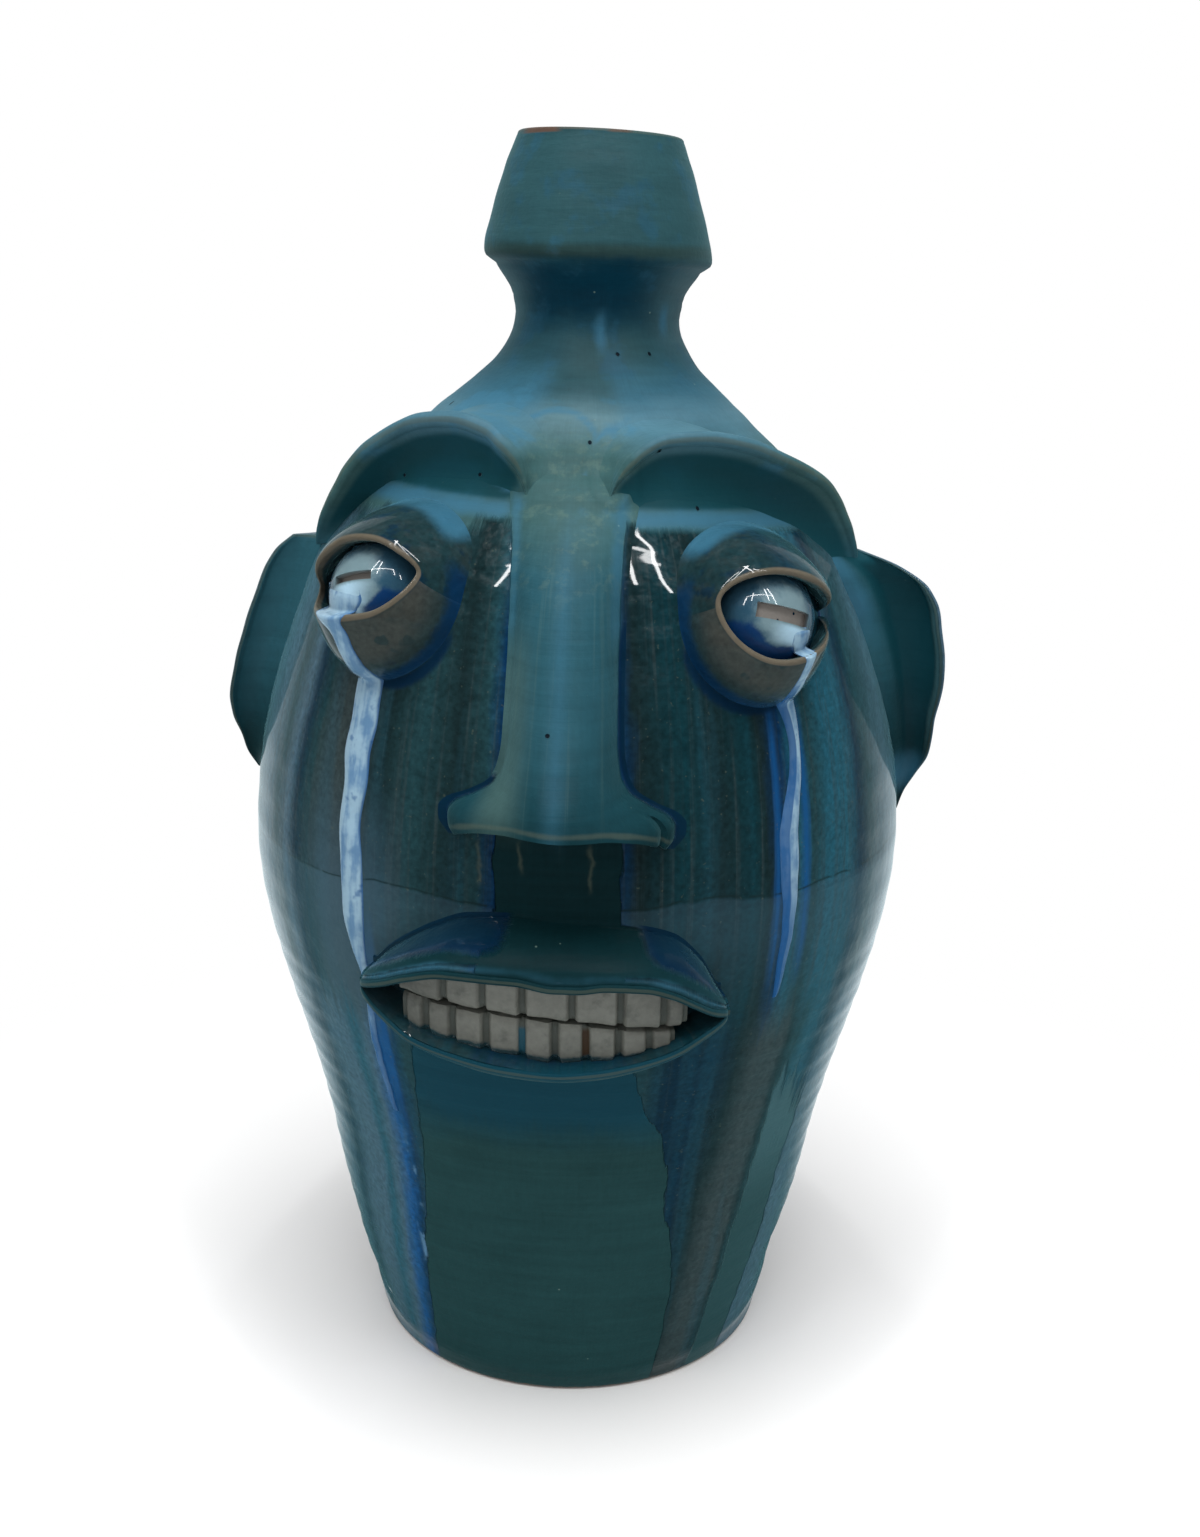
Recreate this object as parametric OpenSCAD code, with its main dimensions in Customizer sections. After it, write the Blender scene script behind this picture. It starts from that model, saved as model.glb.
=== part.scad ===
// Stoneware face jug: a thrown pot with a strap handle and a face of applied clay.
// Millimetres, +Z up, the foot on z = 0 and the pot's axis on Z. The face looks along -Y,
// so its own right side is on -X. The face hangs from the top of the body: its heights are set
// downwards from the seam, one feature after the other.

/* [Thrown body] */
// Radius of the foot, where the jug stands
foot_r = 44.6; // [40:0.2:50]
// Radius halfway up the flank
flank_r = 59; // [55:0.2:63]
// Radius of the belly, the widest ring
belly_r = 72.4; // [68:0.2:78]
// Radius of the shoulder, at the eyes
shoulder_r = 58.6; // [55:0.2:62]
// Radius where the shoulder turns over, at the brows
crown_r = 44.7; // [42:0.2:48]
// Radius of the seam between the body and the neck
seam_r = 30; // [28:0.2:33]
// Height of the thrown body, up to that seam
body_h = 216; // [212:1:222]
// Thickness of the thrown wall, square to its surface
wall = 5; // [4:0.1:6]
// Thickness of the floor
floor_t = 7; // [5:0.5:9]

/* [Neck and collar] */
// Radius of the neck at its narrowest
neck_r = 17.7; // [17:0.1:19]
// Height from the seam to the narrowest ring of the neck
neck_h = 20.5; // [18:0.5:24]
// Height from the narrowest ring up to the collar's widest ring
collar_under_h = 9.5; // [8:0.5:12]
// Radius of the collar at its widest
collar_r = 24; // [22.5:0.1:26]
// Height of the tapered collar above its widest ring
collar_h = 24; // [20:0.5:28]
// Radius of the rim
rim_r = 17.5; // [16.5:0.1:19]
// Radius of the mouth, for a 25 mm cork
mouth_r = 12.5; // [11:0.1:13.5]

/* [Handle] */
// Width of the pulled strap
strap_w = 21; // [16:0.5:24]
// Thickness of the strap at its middle
strap_t = 8; // [6:0.5:10]
// How far the strap stands out behind the axis
strap_reach = 66; // [62:0.5:72]

/* [Face] */
// Turn of the face about the pot's axis, degrees
face_turn = -3.6; // [-8:0.2:8]
// Tilt of the face, degrees: its right side is the higher one
face_tilt = 2.2; // [0:0.1:3]

/* [Eyes] */
// How far the eyes lie below the seam
eye_drop = 37; // [34:0.5:39]
// Distance along the wall from the middle of the face to an eye
eye_s = 37.8; // [36:0.2:40]
// Tilt of the eyes' own axes above the level, degrees
eye_lift = 12; // [6:1:16]
// Radius of an eyeball
ball_r = 11; // [10:0.1:12]
// Radius of the mound that the two lids make round an eyeball
mound_r = 18; // [17:0.1:19]
// How far that mound stands proud
mound_h = 14; // [13.5:0.1:16]
// Half the length of the opening between the lids
eye_half_w = 13; // [12:0.1:14]
// Half the height of the opening between the lids
eye_half_h = 8.2; // [7:0.1:9]
// Length of the slit that is the pupil
slit_w = 11; // [8:0.2:13]
// Height of that slit
slit_h = 2; // [1.4:0.1:3]
// Depth of that slit
slit_d = 2.5; // [1.5:0.1:4]

/* [Brows] */
// Clear height between an eye's mound and the brow above it
brow_gap = 1; // [0.6:0.1:3]
// Height of a brow's hollowed face
brow_face_h = 12.5; // [10:0.5:14]
// How far a brow's rim stands out from the wall
brow_out = 17; // [13:0.5:19]
// Height of the shelf from a brow's rim up to the shoulder
brow_shelf_h = 5; // [4:0.5:7]
// Distance along the shoulder from the middle of the face to where a brow starts
brow_start_s = 9.2; // [9:0.2:12]
// Distance along the shoulder to where a brow ends
brow_end_s = 78.8; // [72:0.2:80]
// Distance along the shoulder to where a brow is highest
brow_peak_s = 29.7; // [25:0.1:34]

/* [Nose] */
// How far the underside of the nose lies below the eyes
nose_drop = 38; // [34:0.5:39]
// Length of the nose, from its underside up to its root
nose_l = 62; // [58:0.5:63]
// Half the width of the bridge
bridge_half_w = 9.6; // [8:0.2:11]
// Half the width across the wings
wing_half_w = 21.5; // [18:0.2:24]
// How far the bridge stands out
bridge_out = 6; // [4:0.2:8]
// How far the tip stands out
tip_out = 17; // [14:0.5:20]

/* [Mouth] */
// How far the line between the upper and the lower teeth lies below the nose
mouth_drop = 36.4; // [34:0.2:38]
// Half the width of the mouth along the wall
mouth_half_w = 37.5; // [34:0.5:40]
// Sideways place of the mouth along the wall
mouth_s = -2; // [-4:0.2:4]
// Height of the upper lip's free edge over the line of the teeth
lip_edge_h = 9.4; // [8:0.2:10]
// Height of the upper lip from its free edge to its root
upper_lip_h = 9; // [7:0.2:10]
// Depth of the lower lip's free edge under the line of the teeth
lower_edge_h = 12.2; // [11:0.2:13]
// Height of the lower lip's shelf from its free edge up to the teeth
shelf_h = 3.4; // [2.5:0.1:4]
// Height of the lower lip from its root to its free edge
lower_lip_h = 6; // [5:0.2:8]
// How far the lips stand out
lip_out = 12.5; // [11:0.5:15]
// How far the teeth stand out
teeth_out = 8.2; // [6:0.2:9]
// Width of the grooves scored between the teeth
groove_w = 1.6; // [1:0.1:2]
// Depth of those grooves
groove_d = 1.6; // [0.8:0.1:2.4]
// Number of upper teeth
upper_teeth_n = 7; // [5:1:9]
// Number of lower teeth
lower_teeth_n = 9; // [7:1:11]

/* [Ears] */
// Distance along the shoulder from the front of the pot to the ears
ear_s = 86; // [83:0.5:92]
// How far the top of the ears lies above the eyes
ear_rise = 8; // [1:0.5:11]
// Length of the right ear
right_ear_l = 50; // [42:0.5:56]
// Length of the left ear
left_ear_l = 61; // [52:0.5:66]
// How far the right ear stands out
right_ear_out = 10.5; // [8:0.5:14]
// How far the left ear stands out
left_ear_out = 15.5; // [12:0.5:18]
// Thickness of an ear
ear_t = 4.4; // [3:0.1:6]
// How far the edge of an ear curls forward
ear_curl = 7; // [3:0.5:9]

/* [Glass runs] */
// Length of the right run of melted glass, from the eye's mound down
right_run_l = 89.5; // [70:0.5:120]
// Length of the left run
left_run_l = 58.5; // [30:0.5:70]
// Width of the right run
right_run_w = 5.4; // [3:0.1:7]
// Width of the left run
left_run_w = 3.4; // [2:0.1:5]
// Thickness of a run
run_t = 1.6; // [1:0.1:2.4]

/* [Fits] */
// Clearance between a piece of applied clay and the wall that carries it
slip = 0.08; // [0.05:0.01:0.2]
// Clearance between two pieces of applied clay
seat = 0.3; // [0.2:0.05:0.5]

/* [Hidden] */

// Heights of the wall's rings, as shares of the body's height
flank_z = body_h*0.278;
belly_z = body_h*0.565;
shoulder_z = body_h*0.833;
crown_z = body_h*0.94;
neck_z = body_h + neck_h;
collar_z = neck_z + collar_under_h;
rim_z = collar_z + collar_h;
corner_r = (collar_r - neck_r)*0.34;
under_r = collar_r - corner_r;
rim_round = (rim_r - mouth_r)*0.3;
bore_z = neck_z - neck_h*0.4;

// Heights on the face
eye_z = body_h - eye_drop;
nose_z = eye_z - nose_drop;
mouth_z = nose_z - mouth_drop;
ear_z = eye_z + ear_rise;
run_start_z = eye_z - mound_r*1.03 - brow_gap;
right = -1;
left = 1;
RINGS = [
    [0, foot_r], [flank_z, flank_r], [belly_z, belly_r], [shoulder_z, shoulder_r],
    [crown_z, crown_r], [body_h, seam_r], [neck_z, neck_r], [collar_z - corner_r, under_r]
];

// Glaze and clay colours
teal = "#2e5c60";
dark_teal = "#1f4449";
slate = "#41484a";
ice = "#8fb4cf";
tooth_white = "#c9c8c0";

function clamp(t) = min(max(t, 0), 1);
function smooth(t) = let (c = clamp(t)) c*c*(3 - 2*c);
function mix(a, b, t) = a + (b - a)*t;
function turn(len, r) = len/r*180/PI;

// The wall: a smooth curve through its rings, with the slope at each ring taken from its neighbours
function ring_slope(i) =
    let (a = RINGS[max(i - 1, 0)], b = RINGS[min(i + 1, len(RINGS) - 1)])
    i == 2 ? 0 : i == 6 ? 0 : (b[1] - a[1])/(b[0] - a[0]);
function ring_below(z, i = 0) = i >= len(RINGS) - 2 || z < RINGS[i + 1][0] ? i : ring_below(z, i + 1);
function hermite(p, q, m, n, h, t) =
    (2*t*t*t - 3*t*t + 1)*p + (t*t*t - 2*t*t + t)*h*m + (3*t*t - 2*t*t*t)*q + (t*t*t - t*t)*h*n;
function wall_r(z) =
    let (i = ring_below(z), a = RINGS[i], b = RINGS[i + 1], h = b[0] - a[0])
    hermite(a[1], b[1], ring_slope(i), ring_slope(i + 1), h, (z - a[0])/h);
function wall_slope(z) = let (e = body_h/2000) (wall_r(z + e) - wall_r(z - e))/(2*e);
function inside_r(z) = max(mouth_r, wall_r(z) - wall*sqrt(1 + pow(wall_slope(z), 2)));

// A point at an angle from the front and a height, some way out from the wall
function on_wall(a, z, out) = let (r = wall_r(z) + out) [r*sin(a), -r*cos(a), z];
// The same by the distance along the wall from the middle of the face, with the face's turn and tilt
function on_face(s, z, out) = on_wall(face_turn + turn(s, wall_r(z)), z - s*tan(face_tilt), out);

// A solid between two grids of points: the front, and the back that faces the wall
module clay(front, back) {
    n = len(front);
    m = len(front[0]);
    k = n*m;
    loop = concat(
        [for (j = [0 : m - 1]) j], [for (i = [1 : n - 1]) i*m + m - 1],
        [for (j = [m - 2 : -1 : 0]) (n - 1)*m + j], [for (i = [n - 2 : -1 : 1]) i*m]);
    quads = [for (i = [0 : n - 2]) for (j = [0 : m - 2]) [i*m + j, i*m + j + 1, (i + 1)*m + j + 1, (i + 1)*m + j]];
    faces = concat(
        [for (q = quads) each [[q[0], q[1], q[2]], [q[0], q[2], q[3]]]],
        [for (q = quads) each [[q[0] + k, q[2] + k, q[1] + k], [q[0] + k, q[3] + k, q[2] + k]]],
        [for (e = [0 : len(loop) - 1]) let (p = loop[e], q = loop[(e + 1) % len(loop)])
            each [[p, p + k, q + k], [p, q + k, q]]]);
    polyhedron(concat([for (row = front) each row], [for (row = back) each row]), faces);
}
// Turns a grid over, for a piece whose rows run the other way round
function flip(grid) = [for (row = grid) [for (j = [len(row) - 1 : -1 : 0]) row[j]]];
module sided_clay(side, front, back) {
    if (side > 0) clay(front, back); else clay(flip(front), flip(back));
}

module body() {
    steps = 46;
    top_steps = 40;
    color(teal) rotate_extrude($fn = 96) polygon(concat(
        [[0, 0]],
        [for (i = [0 : steps]) let (z = body_h*i/steps) [wall_r(z), z]],
        [for (i = [top_steps : -1 : 0]) let (z = mix(floor_t + wall, body_h, i/top_steps)) [inside_r(z), z]],
        [for (i = [1 : 5]) let (c = inside_r(floor_t + wall) - wall)
            [c + wall*cos(18*i), floor_t + wall - wall*sin(18*i)]],
        [[0, floor_t]]));
}

module neck_collar() {
    steps = 16;
    throat_steps = 8;
    lean = atan((collar_r - rim_r)/collar_h);
    color(teal) rotate_extrude($fn = 96) polygon(concat(
        [for (i = [0 : steps]) let (z = mix(body_h, collar_z - corner_r, i/steps)) [wall_r(z), z]],
        [for (i = [1 : 5]) let (a = -90 + (90 + lean)*i/5)
            [under_r + corner_r*cos(a), collar_z + corner_r*sin(a)]],
        [for (i = [0 : 4]) let (a = lean + (90 - lean)*i/4)
            [rim_r - rim_round + rim_round*cos(a), rim_z - rim_round + rim_round*sin(a)]],
        [[mouth_r, rim_z], [mouth_r, bore_z]],
        [for (i = [throat_steps - 1 : -1 : 0]) let (z = mix(body_h, bore_z, i/throat_steps)) [inside_r(z), z]]));
}

// The strap's middle line, from the neck out and down to the shoulder, as distance behind the axis and height
strap_top_z = neck_z - neck_h*0.32;
strap_foot_z = shoulder_z - body_h*0.035;
strap_line = [
    [wall_r(strap_top_z), strap_top_z], [strap_reach*0.95, strap_top_z + neck_h],
    [strap_reach*1.3, mix(strap_foot_z, strap_top_z, 0.4)], [wall_r(strap_foot_z), strap_foot_z]
];
function bezier(p, t) =
    pow(1 - t, 3)*p[0] + 3*t*pow(1 - t, 2)*p[1] + 3*t*t*(1 - t)*p[2] + t*t*t*p[3];
function bezier_dir(p, t) =
    let (d = pow(1 - t, 2)*(p[1] - p[0]) + 2*t*(1 - t)*(p[2] - p[1]) + t*t*(p[3] - p[2])) d/norm(d);

module handle() {
    rows = 22;
    cols = 10;
    // the strap swells towards its two ends, whose rows are pushed onto the wall
    function point(i, j, back) =
        let (t = i/rows, c = bezier(strap_line, t), d = bezier_dir(strap_line, t),
             swell = 1 + 0.45*pow(abs(2*t - 1), 5), u = 2*j/cols - 1, x = strap_w/2*swell*u,
             n = strap_t/2*swell*sqrt(1 - 0.92*u*u)*(back ? 1 : -1), y = c[0] + n*d[1], z = c[1] - n*d[0])
        [x, i == 0 || i == rows ? sqrt(pow(wall_r(z) + slip, 2) - x*x) : y, z];
    function grid(back) = [for (i = [0 : rows]) [for (j = [0 : cols]) point(i, j, back)]];
    color(teal) clay(flip(grid(false)), flip(grid(true)));
}

// An ear is a curled plate that stands on the wall; its outline is a share of its reach, from top to bottom
ear_a = turn(ear_s, shoulder_r);
right_ear_shares = [0.62, 0.95, 1, 0.98, 0.94, 0.84, 0.4, 0.12];
left_ear_shares = [0.42, 0.86, 1, 0.97, 0.8, 0.5, 0.26, 0.1];
function share_at(shares, t) =
    let (n = len(shares) - 1, x = t*n, i = min(floor(x), n - 1), a = shares[max(i - 1, 0)],
         b = shares[i], c = shares[i + 1], d = shares[min(i + 2, n)])
    hermite(b, c, (c - a)/2, (d - b)/2, 1, x - i);
module ear(side, ear_l, ear_out, shares) {
    rows = 20;
    cols = 8;
    function grid(back) = [for (i = [0 : rows]) [for (j = [0 : cols])
        let (t = i/rows, s = j/cols, z = ear_z - ear_l*t,
             thick = ear_t*(1 - 0.4*s)*(0.55 + 0.45*sin(180*clamp(t*0.9 + 0.05))),
             forward = ear_curl*s*s*sin(180*clamp(t)) - thick*(back ? 0.5 : -0.5))
        on_wall(side*(ear_a - turn(forward, wall_r(z))), z, slip + ear_out*share_at(shares, t)*s)]];
    color(dark_teal) sided_clay(side, flip(grid(false)), flip(grid(true)));
}
module right_ear() ear(right, right_ear_l, right_ear_out, right_ear_shares);
module left_ear() ear(left, left_ear_l, left_ear_out, left_ear_shares);

// A brow is a visor over the eye: a shelf out to its rim and a hollowed face back down to the socket
brow_from = turn(brow_start_s, shoulder_r);
brow_to = turn(brow_end_s, shoulder_r);
brow_peak = turn(brow_peak_s, shoulder_r);
socket_z = eye_z + mound_r + brow_gap;
function brow_side(a) = (a - brow_peak)/(brow_to - brow_peak);
function brow_fall(a) = pow(brow_side(a), 2)*(a < brow_peak ? 1.3 : 1);
module brow(side) {
    rows = 24;
    cols = 11;
    rim_col = 4;
    function point(a, j, back) =
        let (fall = brow_fall(a), thin = 1 - 0.75*clamp(fall),
             rim = brow_out*(1 - 0.62*clamp(fall))*smooth((a - brow_from)/14 + 0.12)*smooth((brow_to - a)/12),
             low = socket_z - body_h*0.083*fall,
             high = low + brow_face_h*thin, top = high + brow_shelf_h*thin,
             t = j <= rim_col ? j/rim_col : (j - rim_col)/(cols - rim_col),
             z = j <= rim_col ? mix(top, high, pow(t, 1.5)) : mix(high, low, t),
             out = j <= rim_col ? rim*pow(t, 0.8) : rim*pow(1 - t, 1.7),
             s = side*a/180*PI*wall_r(z))
        on_wall(face_turn + side*a, z - side*a/180*PI*shoulder_r*tan(face_tilt), slip + (back ? 0 : out + seat));
    function grid(back) = [for (i = [0 : rows]) [for (j = [0 : cols])
        point(mix(brow_from, brow_to, i/rows), j, back)]];
    color(dark_teal) sided_clay(-side, grid(false), grid(true));
}
module right_brow() brow(right);
module left_brow() brow(left);

// Each eye has its own frame: its centre on the wall, two directions along the wall and its axis outwards
function eye_at(side) = on_face(side*eye_s, eye_z, 0);
function eye_turn(side) = face_turn + turn(side*eye_s, wall_r(eye_z));
function eye_across(side) = [cos(eye_turn(side)), sin(eye_turn(side)), -sin(face_tilt)];
function eye_axis(side) = let (a = eye_turn(side))
    [cos(eye_lift)*sin(a), -cos(eye_lift)*cos(a), sin(eye_lift)];
function eye_up(side) = cross(eye_axis(side), eye_across(side))*-1;
function in_eye(side, s, t, h) = eye_at(side) + s*eye_across(side) + t*eye_up(side) + h*eye_axis(side);
// How far along the eye's axis the wall lies from the plane through the eye's centre
function wall_under(side, s, t, h = 0, k = 6) =
    let (p = in_eye(side, s, t, h), miss = norm([p[0], p[1]]) - wall_r(p[2]))
    k == 0 ? h : wall_under(side, s, t, h - miss*0.9, k - 1);

dome_r = (mound_r*mound_r + mound_h*mound_h)/(2*mound_h);
function dome(d) = sqrt(max(dome_r*dome_r - d*d, 0)) - dome_r + mound_h;
function ball(d) = d < ball_r ? sqrt(ball_r*ball_r - d*d) : 0;
// The edge of the opening, w from one corner (-1) to the other (1)
function lid_edge(w, up) = [eye_half_w*w, up*(eye_half_h*pow(1 - w*w, 0.75) + slip)];
function mound_edge(w, up) = [mound_r*sin(90*w), up*(mound_r*cos(90*w) + slip)];

module lid(side, up) {
    rows = 20;
    cols = 7;
    function point(w, v, back) =
        let (p = mix(mound_edge(w, up), lid_edge(w, up), v), d = norm(p), under = wall_under(side, p[0], p[1]))
        in_eye(side, p[0], p[1], back
            ? max(under + slip, d < ball_r + seat ? ball(d*ball_r/(ball_r + seat)) + seat : under + slip)
            : max(under*(1 - smooth(v*1.4)) + dome(d), under) + slip + seat);
    function grid(back) = [for (i = [0 : rows]) [for (j = [0 : cols]) point(2*i/rows - 1, j/cols, back)]];
    color(slate) sided_clay(up, grid(false), grid(true));
}
module right_upper_lid() lid(right, 1);
module right_lower_lid() lid(right, -1);
module left_upper_lid() lid(left, 1);
module left_lower_lid() lid(left, -1);

module pot_solid() {
    steps = 12;
    low = eye_z - ball_r*1.5;
    high = eye_z + ball_r*1.5;
    rotate_extrude($fn = 96) polygon(concat(
        [[0, low]], [for (i = [0 : steps]) let (z = mix(low, high, i/steps)) [wall_r(z) + slip, z]], [[0, high]]));
}
module eyeball(side) {
    a = eye_turn(side);
    color(ice) difference() {
        translate(eye_at(side)) sphere(r = ball_r, $fn = 48);
        pot_solid();
        translate(in_eye(side, 0, 0, ball_r)) rotate([0, 0, a]) rotate([-eye_lift, 0, 0])
            cube([slit_w, 2*slit_d, slit_h], center = true);
    }
}
module right_eyeball() eyeball(right);
module left_eyeball() eyeball(left);

// The nose: a wedge whose sides spread into two wings over a flat underside
module nose() {
    rows = 18;
    cols = 14;
    function half_w(v) = mix(bridge_half_w*(0.64 + 0.36*smooth(v/0.22)), wing_half_w, pow(smooth((v - 0.62)/0.36), 1.4));
    function height(v) = mix(bridge_out*smooth(v/0.12 + 0.15), tip_out, pow(v, 1.5));
    function point(u, v, back) =
        let (flat = mix(2.4, 1.5, smooth((v - 0.6)/0.4)), wing = 0.28*smooth((v - 0.7)/0.3),
             z = nose_z + nose_l*(1 - v)*(1 - 0.04*u*u),
             out = height(v)*max(1 - pow(abs(u), flat), wing*(1 - pow(abs(u), 6))))
        on_face(half_w(v)*u, z, slip + (back ? 0 : out + seat));
    function grid(back) = [for (i = [0 : rows]) [for (j = [0 : cols]) point(2*j/cols - 1, i/rows, back)]];
    color(teal) clay(grid(false), grid(true));
}

// The mouth runs from one corner (w = -1) to the other (w = 1)
corner_z = mouth_z - lip_edge_h*0.05;
function lip_edge_z(w) = mix(corner_z, mouth_z + lip_edge_h, pow(max(1 - w*w, 0), 0.9));
function lip_root_z(w) = mix(corner_z + seat, mouth_z + lip_edge_h + upper_lip_h, pow(max(1 - pow(w, 4), 0), 0.7));
function lower_edge_z(w) = mix(mouth_z - lower_edge_h, corner_z - 2*seat, pow(abs(w), 2.4));
function shelf_z(w) = mix(mouth_z - lower_edge_h + shelf_h, corner_z - seat, w*w);
function lower_root_z(w) = lower_edge_z(w) - lower_lip_h*pow(max(1 - w*w, 0), 0.5) - seat;
function lip_reach(w) = lip_out*(0.25 + 0.75*pow(max(1 - w*w, 0), 0.5));
function on_mouth(w, z, out) = on_face(mouth_s + mouth_half_w*w, z, out);

module upper_lip() {
    rows = 30;
    cols = 7;
    function point(w, v, back) =
        let (z = mix(lip_root_z(w), lip_edge_z(w) + seat, v), bow = 1 - 0.12*exp(-pow(w*7, 2)))
        on_mouth(w, z, slip + (back ? 0 : seat + lip_reach(w)*bow*sin(90*pow(v, 0.9))));
    function grid(back) = [for (i = [0 : rows]) [for (j = [0 : cols]) point(2*i/rows - 1, j/cols, back)]];
    color(teal) clay(flip(grid(false)), flip(grid(true)));
}
module lower_lip() {
    rows = 30;
    cols = 9;
    edge_col = 5;
    function point(w, j, back) =
        let (t = j <= edge_col ? j/edge_col : (j - edge_col)/(cols - edge_col),
             z = j <= edge_col ? mix(lower_root_z(w), lower_edge_z(w), t) : mix(lower_edge_z(w), shelf_z(w), t),
             far = lip_reach(w), near = min(teeth_out, far*0.8),
             out = j <= edge_col ? far*sin(90*t) : mix(far, near, t))
        on_mouth(w, z, slip + (back ? 0 : seat + out));
    function grid(back) = [for (i = [0 : rows]) [for (j = [0 : cols]) point(2*i/rows - 1, j, back)]];
    color(teal) clay(grid(false), grid(true));
}

// A strip of white clay with grooves scored across it, between two heights given for each w
module teeth(count, from, to, upper) {
    rows = 4;
    groove = groove_w/(2*mouth_half_w);
    edges = [for (i = [0 : count]) mix(from, to, i/count)];
    // columns come in fours at each tooth: up its one flank, along its face and down its other flank
    columns = [for (i = [0 : count - 1]) let (a = edges[i], b = edges[i + 1])
        each [[a + groove*0.3, 0], [a + groove, 1], [mix(a, b, 0.5), 1.06], [b - groove, 1], [b - groove*0.3, 0]]];
    function span(w) = upper
        ? [mouth_z + seat, lip_edge_z(w) - seat]
        : [shelf_z(w) + seat, mouth_z - 2*seat];
    function point(c, v, back) =
        let (z = mix(span(c[0])[0], span(c[0])[1], v), near = teeth_out - groove_d)
        on_mouth(c[0], z, slip + (back ? 0 : near + groove_d*c[1]));
    function grid(back) = [for (c = columns) [for (j = [0 : rows]) point(c, j/rows, back)]];
    color(tooth_white) clay(grid(false), grid(true));
}
module upper_teeth() teeth(upper_teeth_n, -0.78, 0.8, true);
module lower_teeth() teeth(lower_teeth_n, -0.76, 0.78, false);

// A run of melted glass, from the edge of the mound down the wall and past the corner of the mouth
run_wave = 0.15;
module glass_run(side, run_w, run_l, from_share, to_share) {
    rows = 34;
    cols = 5;
    corner_a = turn(mouth_half_w + side*mouth_s + (1 + run_wave)*run_w/2 + seat, wall_r(mouth_z));
    function point(t, u, back) =
        let (z = run_start_z - run_l*t, r = wall_r(z), half = run_w/2*(1 - 0.55*t)*(1 + run_wave*sin(900*t)),
             line_a = max(turn(mix(from_share, to_share, t)*eye_s, shoulder_r), corner_a),
             a = face_turn + side*line_a + turn(half*u, r))
        on_wall(a, z, slip + (back ? 0 : seat + run_t*(1 - 0.4*t)*(1 - u*u)));
    function grid(back) = [for (i = [0 : rows]) [for (j = [0 : cols]) point(i/rows, 2*j/cols - 1, back)]];
    color(ice) clay(grid(false), grid(true));
}
module right_glass_run() glass_run(right, right_run_w, right_run_l, 0.97, 0.9);
module left_glass_run() glass_run(left, left_run_w, left_run_l, 1.1, 1.06);

body();
neck_collar();
handle();
right_ear();
left_ear();
right_brow();
left_brow();
right_upper_lid();
right_lower_lid();
right_eyeball();
left_upper_lid();
left_lower_lid();
left_eyeball();
nose();
upper_lip();
lower_lip();
upper_teeth();
lower_teeth();
right_glass_run();
left_glass_run();
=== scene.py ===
# %% [markdown]
# # A stoneware face jug
# The real object is a thrown pot with a face pressed on in soft clay: brows, nose, lids, lips and ears are
# slabs and rolls that the potter smooths onto the wall. Melted glass runs from the eyes, and a teal glaze
# turns glossy and dark where it flows. This lesson builds each piece in mesh code around the packed solids,
# then paints all the clay but the lids, eyes and teeth with one glaze recipe, as the real jug was dipped
# whole.

# %% Load the imported frame
import math

import bmesh
import bpy
from mathutils import Matrix, Vector, noise
from mathutils.bvhtree import BVHTree


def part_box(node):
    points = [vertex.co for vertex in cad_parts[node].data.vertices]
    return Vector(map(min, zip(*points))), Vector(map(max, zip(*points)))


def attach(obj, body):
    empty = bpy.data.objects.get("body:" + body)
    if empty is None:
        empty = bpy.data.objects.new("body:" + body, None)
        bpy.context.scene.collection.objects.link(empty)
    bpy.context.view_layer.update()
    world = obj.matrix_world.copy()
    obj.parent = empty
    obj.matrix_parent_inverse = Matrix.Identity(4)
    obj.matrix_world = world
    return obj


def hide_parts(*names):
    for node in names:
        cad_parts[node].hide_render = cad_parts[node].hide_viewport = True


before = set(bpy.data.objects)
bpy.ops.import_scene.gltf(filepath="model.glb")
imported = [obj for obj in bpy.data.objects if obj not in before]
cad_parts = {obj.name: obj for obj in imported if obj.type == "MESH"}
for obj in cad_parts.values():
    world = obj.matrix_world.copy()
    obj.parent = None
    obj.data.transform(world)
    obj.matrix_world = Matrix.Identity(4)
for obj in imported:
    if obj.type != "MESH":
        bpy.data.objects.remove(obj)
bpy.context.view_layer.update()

MM = 0.001

# %% [markdown]
# ## Curves
# Clay has no straight lines, so most sizes below change along the piece. A handful of points and a smooth
# curve through them says this best. The slopes are chosen so that the curve never swings past its points,
# which keeps a lip or a brow from bulging between two of them.

# %% Curve helpers
def clamp(t):
    return min(max(t, 0.0), 1.0)


def smooth(t):
    t = clamp(t)
    return t * t * (3 - 2 * t)


def mix(a, b, t):
    return a + (b - a) * t


def bump(x, middle, half):
    """1 at the middle, 0 beyond half on both sides."""
    return smooth(1 - abs(x - middle) / half)


def fillet(height, soft):
    """The height, with a soft foot instead of a corner where it meets the wall."""
    return (height + math.sqrt(height * height + 4 * soft * soft)) / 2


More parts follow.
